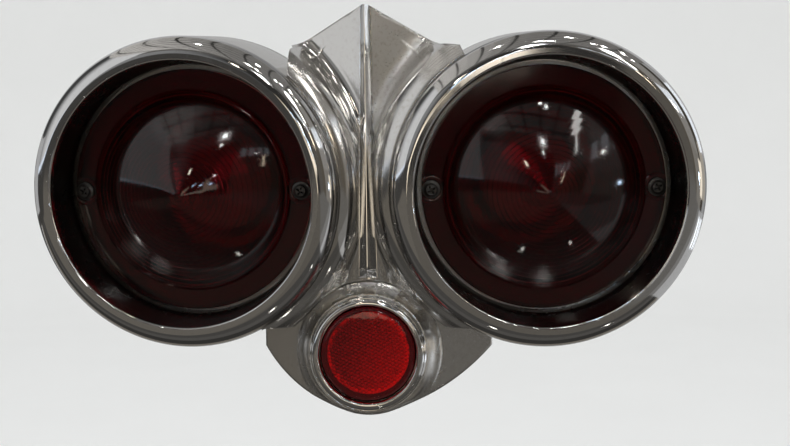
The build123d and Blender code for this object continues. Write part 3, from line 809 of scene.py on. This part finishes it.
def housing(material):
    """Web, a drum and a shelf round each lamp, and the studs' bosses."""
    inner, front, far = BEZEL_R - HOUSING_WALL, SEAM_DEPTH - 0.02, 90.0
    wall = rounded([(BEZEL_R, front), (BEZEL_R, far), (inner, far), (inner, front)], 0.08, 2)
    rim, back = inner + 0.5, SHELF_DEPTH + SHELF_T
    shelf = rounded([(SHELF_R, SHELF_DEPTH), (rim, SHELF_DEPTH), (rim, back), (SHELF_R, back)], 0.3, 2)
    parts = [web()]
    for side in SIDES.values():
        parts += [turned(wall, on_pod, side, 192, BACK_Y), turned(shelf, on_pod, side, 128)]
    for x, z in stud_places():
        parts.append(rod(BOSS_R, (x, BACK_Y, z), (x, BACK_Y - STUD_IN - HOUSING_WALL, z), 40, 0.8))
    paint(piece("housing_casting", joined(*parts), material, "housing", 50), housing_wear)


def keel_strip(material):
    """Wedge strip with softened edges, its foot cut back in a small facet."""
    front, back = RIDGE_Y - KEEL_PROUD, RIDGE_Y + KEEL_SEAT
    edge, rise = back - KEEL_SEAT / 2, KEEL_PROUD + KEEL_SEAT / 2
    facet_z = KEEL_FOOT_Z + KEEL_FACET_L
    heights = [KEEL_FOOT_Z, KEEL_FOOT_Z + 0.2, *np.linspace(KEEL_FOOT_Z + 0.5, facet_z, 10),
               *np.linspace(facet_z + 1, KEEL_TOP_Z - 0.4, 60), KEEL_TOP_Z]
    rows = []
    for z in heights:
        half = keel_half(z)
        cut = max(0.0, 1 - (z - KEEL_FOOT_Z) / KEEL_FACET_L) * rise
        section = rounded([(0, front), (half, edge), (half, back), (-half, back), (-half, edge)], 0.45, 3)
        rows.append([(x, max(y, front + cut), z) for x, y in section])
    shape = rows, capped(len(rows), len(rows[0]))
    strip = piece("keel_trim", shape, material, "keel_strip", 25)
    paint(strip, lambda p: CLEAN + 0.2 * smooth(p[:, 0], -0.5, 0.5))


def lens_profile():
    """Smooth cone outside; concentric steps inside and in the back of the flange."""
    back = LENS_DEPTH + FLANGE_T
    step = LENS_DEPTH - DOME_STEP
    apex = LENS_DEPTH - CONE_H
    inner_r = DOME_R - LENS_WALL
    out = [(0.02, apex + 0.02), (APEX_R * 0.5, apex + 0.02)]
    out += arc((APEX_R, apex), (DOME_R - 0.5, step), -CONE_BULGE, 56)
    out += [(DOME_R - 0.15, step + 0.15), (DOME_R, step + 0.45)]
    out += [(DOME_R + 0.75, LENS_DEPTH - 0.4), (DOME_R + 1.2, LENS_DEPTH)]
    out += line((DOME_R + 2, LENS_DEPTH), (LENS_R - 0.4, LENS_DEPTH), 2.5)
    out += [(LENS_R - 0.1, LENS_DEPTH + 0.1), (LENS_R, LENS_DEPTH + 0.4)]
    out += line((LENS_R, LENS_DEPTH + 0.6), (LENS_R, back))
    radius = LENS_R - 0.8
    while radius > inner_r + RING_PITCH:
        out += [(radius, back), (radius - RING_PITCH / 2, back - GROOVE_DEPTH)]
        radius -= RING_PITCH
    out += [(radius, back), (inner_r, back), (inner_r, step + LENS_WALL + 0.3)]
    base = np.array(arc((inner_r, step + LENS_WALL), (0.02, apex + LENS_WALL), CONE_BULGE, 80))
    radius = inner_r - 0.2
    while radius > RING_PITCH:
        inner = radius - RING_PITCH * 0.8
        depth = np.interp([radius, inner], base[::-1, 0], base[::-1, 1])
        out += [(radius, depth[0]), (inner, depth[1] - RING_STEP)]
        radius -= RING_PITCH
    return out + [(0.02, apex + LENS_WALL)]


def screw_boss(side, x):
    """Low rounded ring of lens plastic round one screw, kept inside the flange's rim."""
    inner, foot, top = SCREW_HEAD_R + 0.5, LENS_DEPTH + 0.4, LENS_DEPTH - SCREW_PAD_H
    profile = rounded([(inner, foot), (inner, top), (SCREW_PAD_R, top), (SCREW_PAD_R, foot)], 0.3)
    points, faces = turned(profile, on_axis, 1, 48)
    points = points + [x, 0, 0]
    points[:, :2] *= np.minimum(1, (LENS_R - 0.2) / np.hypot(points[:, 0], points[:, 1]))[:, None]
    return on_pod(side, points), faces


def lenses(material):
    for name, side in SIDES.items():
        parts = [turned(lens_profile(), on_pod, side, 224)]
        parts += [screw_boss(side, x) for x in (-SCREW_CIRCLE_R, SCREW_CIRCLE_R)]
        piece(f"lens_{name}_red", joined(*parts), material, f"lens_{name}", 30)


def pan_head():
    """Head of a screw before its recess is cut, about the screw's own axis."""
    top = LENS_DEPTH - SCREW_HEAD_H
    head = [(0.02, LENS_DEPTH), (SCREW_HEAD_R, LENS_DEPTH), (SCREW_HEAD_R, LENS_DEPTH - 0.8)]
    head += arc((SCREW_HEAD_R, LENS_DEPTH - 0.9), (SCREW_HEAD_R - 1.7, top + 0.05), -0.45, 7)
    head += [(SCREW_HEAD_R * 0.3, top), (0.02, top)]
    return turned(head, on_axis, 1, 40)


def cross_cutter():
    """Tapered cross for the screwdriver recess."""
    top = LENS_DEPTH - SCREW_HEAD_H
    outline = []
    for k in range(4):
        a = math.pi / 2 * k + math.pi / 4 * 0.7
        cos, sin = math.cos(a), math.sin(a)
        for reach, width in ((2.1, -0.42), (2.1, 0.42), (0.55, 0.5)):
            outline.append((reach * cos - width * sin, reach * sin + width * cos))
    points = [(x * s, y * s, z) for z, s in ((top - 0.5, 1.15), (top + 1.5, 0.45)) for x, y in outline]
    return points, capped(2, len(outline))


def cut_screw_head():
    """Head with its recess, about the screw's own axis, as points and faces."""
    head, tool = mesh_object("screw_head", *pan_head()), mesh_object("screw_tool", *cross_cutter())
    for thing in (head, tool):
        clean(thing.data, 0.05)
    cut = head.modifiers.new("recess", "BOOLEAN")
    cut.operation, cut.object, cut.solver = "DIFFERENCE", tool, "EXACT"
    made = bpy.data.meshes.new_from_object(head.evaluated_get(bpy.context.evaluated_depsgraph_get()))
    for thing in (head, tool):
        bpy.data.objects.remove(thing)
    return np.array([tuple(v.co / MM) for v in made.vertices]), [tuple(p.vertices) for p in made.polygons]


def lens_screws(material):
    points, faces = cut_screw_head()
    for name, side in SIDES.items():
        parts = []
        for x in (-SCREW_CIRCLE_R, SCREW_CIRCLE_R):
            parts.append((on_pod(side, points + [x, 0, 0]), faces))
            ends = on_pod(side, [(x, 0, LENS_DEPTH - 0.2), (x, 0, LENS_DEPTH + SCREW_L)])
            parts.append(rod(SCREW_SHANK_R, *ends, 20))
        piece(f"lens_screws_{name}_heads", joined(*parts), material, f"lens_screws_{name}", 35)


def reflector_boundary():
    """Outline of the reflector's casting about its own axis, anticlockwise from the right wing's tip."""
    foot_z = WEB_FOOT_Z - SEAT_GAP
    top = foot_z - REFLECTOR_Z
    pod_r = AXIS_GAP - SEAT_R + SEAT_GAP
    meet = math.atan2(-REFLECTOR_Z, POD_X)
    notch = POD_X - math.sqrt(pod_r**2 - foot_z**2)
    right, left = ((side * WINGS[side][0], WING_TIP_Z - REFLECTOR_Z) for side in (1, -1))

    def pod_arc(side):
        ends = (math.atan2(foot_z, notch - POD_X), math.atan2(REFLECTOR_Z, -POD_X))
        turns = np.linspace(ends[0] % (2 * math.pi), ends[1] % (2 * math.pi), 24)[1:-1]
        return [(side * (POD_X + pod_r * math.cos(t)), pod_r * math.sin(t) - REFLECTOR_Z) for t in turns]

    def collar_arc(start, end, radius, count):
        return [(radius * math.cos(t), radius * math.sin(t)) for t in np.linspace(start, end, count)]

    def lower(tip, side):
        turn = WINGS[side][1]
        end = side * COLLAR_R * math.cos(turn), -COLLAR_R * math.sin(turn)
        slant = math.atan2(tip[1] - end[1], abs(tip[0] - end[0])) - (math.pi / 2 - turn)
        return arc(tip, end, side * math.dist(tip, end) / 2 * math.tan(slant / 2), 60)

    return np.concatenate([
        line(right, (right[0], top), 1.0)[1:],
        line((right[0], top), (notch, top), 1.0)[1:],
        pod_arc(1),
        collar_arc(meet, math.pi - meet, SEAT_R - SEAT_GAP, 90),
        pod_arc(-1)[::-1],
        line((-notch, top), (left[0], top), 1.0),
        line((left[0], top), left, 1.0)[1:],
        lower(left, -1)[1:],
        collar_arc(-math.pi + WINGS[-1][1], -WINGS[1][1], COLLAR_R, 16)[1:-1],
        lower(right, 1)[::-1],
    ])


def reflector_depth(x, z):
    """Depth of the cove and the wings behind the mouths, blended at the foot of the collar."""
    foot = SEAT_R + 0.4, WING_DEPTH + 0.4
    cove = np.array(arc((RING_R + 0.4, RING_BACK), foot, COVE_BULGE, 40) + [(foot[0] + 0.8, foot[1] + 9)])
    collar = np.interp(np.hypot(x, z), cove[:, 0], cove[:, 1])
    wing = WING_DEPTH + np.clip(np.abs(x) - COLLAR_R, 0, None) * math.tan(WING_SLOPE)
    return blended(collar, wing, COVE_BLEND)


def reflector_rim():
    """The outline with its edge's radius, and the line at which the front face starts to turn over.
    Points near a convex corner share the corner's inset, so that the rows between don't cross."""
    rim = reflector_boundary()
    ahead, behind = unit(np.roll(rim, -1, 0) - rim), unit(rim - np.roll(rim, 1, 0))
    normal = unit(np.stack([ahead[:, 1] + behind[:, 1], -ahead[:, 0] - behind[:, 0]], 1))
    corner = np.clip(np.sum(normal * np.stack([ahead[:, 1], -ahead[:, 0]], 1), 1), 0.6, 1)
    radius = REFLECTOR_EDGE_R - 1.1 * smooth(rim[:, 1], 8.0, 12.5)
    inset = rim - normal * (radius / corner)[:, None]
    convex = behind[:, 0] * ahead[:, 1] - behind[:, 1] * ahead[:, 0] > 0
    for k in np.flatnonzero((corner < 0.98) & convex):
        reach = radius[k] * math.sqrt(1 / corner[k]**2 - 1)
        inset[np.linalg.norm(rim - rim[k], axis=1) < reach] = inset[k]
    return rim, radius, inset


def reflector_wear(p):
    """Dull on the right wing and round the collar."""
    collar = 1 - smooth(collar_distance(p), SEAT_R - 1, SEAT_R + 4)
    return 0.30 + 0.25 * smooth(p[:, 0], 20, 40) + 0.45 * collar


def reflector_body(material):
    """Casting with the coved collar and the two wings, its outer edges softly rounded."""
    rim, radius, inset = reflector_rim()
    turns = np.arctan2(rim[:, 1], rim[:, 0])
    circle = np.stack([np.cos(turns), np.sin(turns)], 1)
    middle, bore = circle * 0.02, circle * REFLECTOR_BORE_R

    def row(flat, depth):
        return np.c_[flat, np.full(len(rim), depth)]

    rows = [row(middle, REFLECTOR_FLOOR), row(bore, REFLECTOR_FLOOR), row(bore, RING_BACK),
            row(circle * RING_R, RING_BACK)]
    for share in np.linspace(0, 1, 46):
        flat = circle * (RING_R + 0.3) * (1 - share) + inset * share
        rows.append(row(flat, reflector_depth(flat[:, 0], flat[:, 1])))
    brink = rows[-1][:, 2]
    for turn in np.linspace(0, math.pi / 2, 8)[1:]:
        rows.append(row(inset + (rim - inset) * math.sin(turn), brink + radius * (1 - math.cos(turn))))
    rows += [row(rim, STANDOFF + BACK_Y), row(middle, STANDOFF + BACK_Y)]
    shape = on_reflector(1, rows), grid_faces(len(rows), len(rim), True, True)
    paint(piece("reflector_casting", shape, material, "reflector_body"), reflector_wear)


def reflector_ring(material):
    """Turned ring over the lens's rim, with a rolled face and a step outside it."""
    inner, front = REFLECTOR_BORE_R, RING_FRONT
    profile = [(inner, RING_BACK), (inner, front + 1.4), (inner + 0.15, front + 0.8)]
    profile += arc((inner + 0.4, front + 0.35), (inner + 2.9, front + 1.1), -0.42, 12)
    profile += [(inner + 3.1, front + 1.5), (inner + 3.3, front + 1.6)]
    profile += arc((inner + 3.5, front + 1.55), (RING_R, RING_BACK - 0.9), -0.25, 6)
    profile += [(RING_R, RING_BACK)]
    shape = turned(profile, on_reflector)
    paint(piece("reflector_ring_trim", shape, material, "reflector_ring", 50), 0.2)


def reflector_cover(material):
    """Clear cover with a rounded rim, hollow behind."""
    back = REFLECTOR_DEPTH + REFLECTOR_LENS_T
    edge, inner, hollow = REFLECTOR_LENS_R - COVER_EDGE, REFLECTOR_LENS_R - COVER_RIM, back - COVER_HOLLOW
    profile = [(0.02, REFLECTOR_DEPTH)] + line((0.5, REFLECTOR_DEPTH), (edge, REFLECTOR_DEPTH), 2)
    profile += arc((edge, REFLECTOR_DEPTH), (REFLECTOR_LENS_R, REFLECTOR_DEPTH + COVER_EDGE), -0.6)[1:]
    profile += [(REFLECTOR_LENS_R, back), (inner, back), (inner, hollow), (0.02, hollow)]
    shape = turned(profile, on_reflector, 1, 128)
    piece("reflector_cover", shape, material, "reflector_lens", 35)


def reflector_prisms(material):
    """Plate of three-sided prisms in a honeycomb behind the cover, with painted light and shade stored on
    each face.
    """
    radius, plate = REFLECTOR_LENS_R - 3.2, REFLECTOR_DEPTH + REFLECTOR_LENS_T - 0.4
    row_share, reach = 0.866, PRISM_PITCH / 1.74
    cos, sin = math.cos(PRISM_LEAN), math.sin(PRISM_LEAN)
    count = int(radius / (PRISM_PITCH * row_share)) + 1
    rng = np.random.default_rng(7)
    points, faces, shades = [], [], []
    for j in range(-count, count + 1):
        for i in range(-count - 4, count + 5):
            a, b = (i + (j % 2) / 2) * PRISM_PITCH, j * PRISM_PITCH * row_share
            x, y = a * cos - b * sin, a * sin + b * cos
            off = math.hypot(x, y)
            if off > radius + PRISM_PITCH * 0.45:
                continue
            start = len(points)
            ring = range(start + 1, start + 7)
            middle = np.array([x, y]) * min(1, (radius - 0.2) / max(off, 0.01))
            points.append((*middle, plate - 1.0))
            for k in range(6):
                turn = math.pi / 3 * k + math.pi / 6 + PRISM_LEAN
                corner = np.array([x + reach * math.cos(turn), y + reach * math.sin(turn)])
                corner *= min(1, radius / np.linalg.norm(corner))
                points.append((*corner, plate - (0.45 if k % 2 else 0.0)))
            near_edge = smooth(off, radius - 2.6, radius - 0.6)
            # painted light: brighter to the right, lower down and near the rim, the rim with a random share
            shade = 0.24 + 0.014 * x - 0.008 * y + 0.75 * near_edge * (0.35 + 0.8 * rng.random())
            for k in range(3):
                faces.append((start, ring[2 * k], ring[2 * k + 1], ring[(2 * k + 2) % 6]))
                # painted light and shade: each of a prism's three faces gets its own brightness, plus a
                # little random tone
                shades.append(min(1.0, max(0.0, shade + (0.14, -0.08, -0.16)[k] + 0.06 * rng.random())))
            faces.append(tuple(reversed(ring)))
            shades.append(0.3)
    thing = mesh_object("reflector_prisms", on_reflector(1, points), faces)
    thing.data.attributes.new("prism_painted_light", "FLOAT", "FACE").data.foreach_set("value", shades)
    thing.data.materials.append(material)
    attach(thing, "root")


def dress(node, material):
    """Material for a CAD node that keeps its own mesh."""
    materials = frame["nodes"][node].data.materials
    materials.clear()
    materials.append(material)


def glow_material(name):
    """Plain light of the colour stored on each face."""
    n = Nodes(name)
    n.tree.nodes.clear()
    shade = n.add("ShaderNodeAttribute", {"attribute_name": "shade"})
    glow = n.add("ShaderNodeEmission", Color=shade.outputs["Color"])
    n.add("ShaderNodeOutputMaterial", Surface=glow.outputs[0])
    return n.material


def strip(k, start, end):
    """Ends of one of a wall's equal strips."""
    return start + (end - start) * k / STRIPS, start + (end - start) * (k + 1) / STRIPS


def fade(k, start, end):
    """Share of light left on a strip where a wall darkens from start to end."""
    return 1 - float(smooth((k + 0.5) / STRIPS, start, end))


# small lamps that make the sparks in the chrome and the lenses, in lots like the cards
LAMPS = [
    (Y, -2.17, [(0.34, 1.46, 0.48, 1.60, 28.0, 0.0)]),
    (Y, -2.18, [(0.24, 1.38, 0.58, 1.66, 3.0, 0.0)]),
    (Y, -2.17, [(1.31, 0.84, 1.35, 0.87, 30.0, 0.05), (-0.42, 0.76, -0.36, 0.87, 24.0, 0.25),
                (1.53, 0.44, 1.58, 0.78, 10.0, 0.35), (0.02, 0.20, 0.06, 0.30, 10.0, -0.5),
                (0.20, 0.12, 0.25, 0.20, 12.0, -0.5), (0.40, 0.06, 0.45, 0.14, 12.0, -0.5),
                (0.33, 1.22, 0.40, 1.29, 30.0, 0.1), (0.42, 0.34, 0.46, 0.40, 25.0, 0.0)]),
    (Z, 1.66, [(1.26, -1.46, 1.48, -1.12, 8.0, 0.05)]),
    (Z, 1.655, [(1.38, -1.72, 1.64, -1.36, 8.0, 0.05)]),
    (Z, 1.65, [(1.52, -1.92, 1.78, -1.60, 8.0, 0.05)]),
    (X, 1.77, [(-1.98, 1.12, -1.87, 1.65, 10.0, 0.05), (-1.00, 0.56, -0.94, 0.62, 40.0, 0.1),
               (-0.63, -0.16, -0.57, -0.09, 20.0, -0.4), (-1.67, 0.95, -1.64, 0.98, 20.0, 0.0)]),
    (Z, -0.37, [(0.02, -0.25, 0.034, -0.236, 14.0, 0.1), (0.29, -0.23, 0.302, -0.218, 14.0, 0.1)]),
    (Z, 1.66, [(0.30, -1.25, 0.37, -1.18, 40.0, 0.05), (0.46, -1.32, 0.52, -1.26, 40.0, 0.05),
               (0.95, -0.70, 1.00, -0.65, 40.0, 0.05), (1.10, -0.52, 1.15, -0.47, 50.0, 0.05),
               (1.66, -0.44, 1.71, -0.39, 40.0, 0.05), (1.40, -0.30, 1.46, -0.24, 30.0, 0.05),
               (-0.35, -0.45, -0.28, -0.38, 24.0, 0.05), (0.55, -0.30, 0.62, -0.23, 30.0, 0.05),
               (1.35, -0.10, 1.42, -0.03, 30.0, 0.05)]),
]


def card_lots():
    """Studio cards round the lamp, in lots that lie in one plane: the axis across it, the place on that
    axis, and for each card its first and its opposite corner, brightness and warmth. In metres."""
    left, right, near, far, low, top = -1.7, 1.8, -2.2, 1.5, -0.40, 1.7
    split, brow, aisle = -0.45, 1.3, 0.5
    lots = [
        (X, left, [(near, -0.01, far, 0.05, 0.9, -0.2), (near, low, far, -0.01, 0.05, 0.1)]),
        (Y, near, [(left, low, split, 0.0, 0.05, 0.1), (split, low, 0.8, brow, 0.030, 0.1),
                   (0.8, low, right, brow, 0.09, 0.2), (left, brow, right, top, 0.10, 0.1)]),
        (Y, near + 0.02, [(0.30, -0.2, 0.38, 0.31, 1.3, 0.35), (-0.25, low, -0.07, 0.31, 1.2, 0.35)]),
        (Y, near + 0.015, [(-0.50, -0.29, -0.16, -0.17, 1.2, 0.25), (-0.16, -0.24, 0.34, -0.10, 1.2, 0.25),
                           (0.34, -0.16, 0.58, 0.04, 1.2, 0.25)]),
        (X, right, [(near, low, -1.35, top, 0.085, 0.3), (-1.35, low, -0.2, 0.15, 0.20, 0.15),
                    (-1.35, 0.15, -0.2, top, 0.24, 0.10), (-0.2, low, 0.35, top, 0.05, 0.3),
                    (0.35, low, far, top, 0.32, 0.0)]),
        (X, right - 0.01, [(-0.45, -0.28, 0.05, 0.08, 0.95, 0.25), (0.05, -0.28, 1.0, 0.30, 0.36, 0.2)]),
        (X, left + 0.01, [(0.0, -0.30, 1.35, 0.32, 0.42, 0.0)]),
        (Z, low, [(aisle, -0.25, right, far, 0.42, 0.0), (aisle, -0.60, right, -0.25, 0.20, 0.05),
                  (aisle, near, right, -0.60, 0.13, 0.1), (-0.3, near, aisle, -0.5, 0.10, 0.2),
                  (left, near, -0.3, -0.5, 0.12, 0.2), (left, -0.5, aisle, -0.24, 0.06, 0.1),
                  (left, -0.24, aisle, -0.10, 0.08, 0.1), (left, -0.10, aisle, 0.12, 0.035, 0.1),
                  (left, 0.12, aisle, 0.42, 0.16, 0.2), (left, 0.42, aisle, 0.58, 0.55, 0.0),
                  (left, 0.58, aisle, far, 0.05, 0.1)]),
        (Y, far, [(left, 0.1, right, top, 0.46, 0.0), (left, low, right, 0.1, 0.20, 0.0)]),
    ]
    for k in range(STRIPS):
        (y0, y1), (x0, x1), (s0, s1) = strip(k, near, far), strip(k, left, right), strip(k, left, split)
        lots += [
            (X, left, [(y0, 0.05, y1, top, 0.05 + 0.58 * fade(k, 0.38, 0.72), 0.0)]),
            (Z, top, [(x0, near, x1, far, 0.20 + 0.35 * fade(k, 0.05, 0.55), 0.08)]),
            (Y, near, [(s0, 0.0, s1, brow, 0.06 + 0.17 * fade(k, 0.4, 1.0), 0.0)]),
        ]
    for k in range(4):
        lots += [
            (X, right - 0.02, [(0.42 + k * 0.27, 0.20, 0.62 + k * 0.27, 1.15, 1.25, -0.1),
                               (-1.30 + k * 0.28, 0.55, -1.12 + k * 0.28, 0.95, 1.2, -0.1)]),
            (Z, low + 0.02, [(0.9, k * 0.36, 1.5, 0.2 + k * 0.36, 1.6, -0.1)]),
            (Y, near + 0.02, [(0.92 + k * 0.22, 0.80, 1.08 + k * 0.22, 1.05, 1.0, -0.1)]),
        ]
    beams = [(left, -2.0 + k * 0.42, right, -1.94 + k * 0.42, 0.02, 0.1) for k in range(8)]
    rails = [(-1.5 + k * 0.46, near, -1.455 + k * 0.46, far, 0.03, 0.1) for k in range(7)]
    return lots + [(Z, top - 0.02, beams), (Z, top - 0.03, rails)] + LAMPS


def cards():
    """The cards as one glowing object that only reflections show: it is hidden from the camera, lights
    no matt face, isn't seen through the lenses and casts no shadow."""
    points, faces, shades = [], [], []
    for axis, place, rows in card_lots():
        for a0, b0, a1, b1, level, warmth in rows:
            faces.append(tuple(range(len(points), len(points) + 4)))
            for corner in ([a0, b0], [a1, b0], [a1, b1], [a0, b1]):
                corner.insert(axis, place)
                points.append(corner)
            shades += [level * (1 + warmth * 0.5), level, level * (1 - warmth * 0.7), 1.0]
    thing = mesh_object("studio_cards", points, faces, 1.0)
    thing.data.attributes.new("shade", "FLOAT_COLOR", "FACE").data.foreach_set("color", shades)
    thing.data.materials.append(glow_material("card_glow"))
    thing.visible_camera = False
    thing.visible_diffuse = False
    thing.visible_transmission = False
    thing.visible_shadow = False


def soft_light(name, place, size, power):
    """Rectangular lamp aimed at the object, without a mirror image in it."""
    lamp = bpy.data.lights.new(name, "AREA")
    lamp.shape = "RECTANGLE"
    lamp.size, lamp.size_y = size
    lamp.energy = power
    thing = linked(name, lamp)
    thing.location = place
    thing.rotation_euler = (-Vector(place)).to_track_quat("-Z", "Y").to_euler()
    thing.visible_camera = False
    thing.visible_glossy = False


def backdrop():
    """Plain pale floor that sweeps up all round into a plain pale wall."""
    radius, curve, low, high = 4.5, 1.2, -0.75, 3.2
    profile = [(0.001, low)] + [(radius * s, low) for s in (0.1, 0.25, 0.5, 0.75, 1.0)]
    profile += [(radius + curve * math.sin(t), low + curve * (1 - math.cos(t)))
                for t in np.linspace(0, math.pi / 2, 12)[1:]]
    profile.append((radius + curve, high))
    turns = full_turn(96)
    points = [(r * math.cos(t), r * math.sin(t), z) for r, z in profile for t in turns]
    floor = mesh_object("floor", points, grid_faces(len(profile), len(turns), False, True), 1.0)
    floor.data.shade_smooth()
    n = Nodes("pale_floor")
    color = n.mix(n.noise(3), (0.88, 0.88, 0.87), (0.91, 0.91, 0.90))
    floor.data.materials.append(n.surface(Base_Color=color, Roughness=0.7))


def studio():
    """Backdrop, cards, an even pale world and two soft lights."""
    backdrop()
    cards()
    world = bpy.data.worlds.new("studio")
    bpy.context.scene.world = world
    world.use_nodes = True
    background = world.node_tree.nodes["Background"].inputs
    background["Color"].default_value = (0.92, 0.93, 0.94, 1)
    background["Strength"].default_value = 1.0
    soft_light("key", (-1.1, -1.3, 1.6), (1.2, 0.9), 14)
    soft_light("fill", (1.4, -1.0, 0.9), (0.9, 0.9), 6)


def camera():
    """Camera at the photograph's place, half a metre before the lenses and a little above their middle."""
    lens_mm, sensor_mm = 54.21, 36.0
    place = Vector((43.2, -572.1, 28.6)) * MM
    pan, tip, roll = 3.21, 4.50, -0.62
    data = bpy.data.cameras.new("camera")
    data.lens, data.sensor_width = lens_mm, sensor_mm
    data.clip_start, data.clip_end = 0.01, 60
    thing = linked("camera", data)
    turn = Matrix.Rotation(math.radians(pan), 4, "Z") @ Matrix.Rotation(math.radians(90 - tip), 4, "X")
    thing.matrix_world = Matrix.Translation(place) @ turn @ Matrix.Rotation(math.radians(roll), 4, "Z")
    bpy.context.scene.camera = thing


def main():
    camera()
    studio()
    casting = chrome("chrome_casting", (0.78, 0.77, 0.75), 0.6, 0.07)
    trim = chrome("chrome_trim", (0.80, 0.80, 0.80), 0.3, 0.05)
    steel = old_steel("tarnished_steel", (0.13, 0.125, 0.12), 0.38)
    zinc = old_steel("zinc_plate", (0.6, 0.6, 0.58), 0.35, 0.2)
    stud = old_steel("stud_plate", (0.62, 0.62, 0.60), 0.3, thread=STUD_THREAD)
    dull_brass, black, glass = brass(), rubber(), clear_glass()
    housing(casting)
    bezels(trim)
    keel_strip(trim)
    lenses(lens_red())
    lens_screws(steel)
    reflector_ring(trim)
    reflector_cover(reflex_cover())
    reflector_prisms(reflex_prisms())
    reflector_body(casting)
    for node in ("fender_gasket", "reflector_gasket", "lens_gasket_left", "lens_gasket_right"):
        dress(node, black)
    for node in ("housing_studs", "reflector_studs"):
        dress(node, stud)
    for side in SIDES:
        dress(f"bucket_{side}", zinc)
        dress(f"socket_{side}", dull_brass)
        dress(f"bulb_base_{side}", dull_brass)
        dress(f"bulb_{side}", glass)


main()
bpy.context.scene.view_settings.view_transform = "Standard"
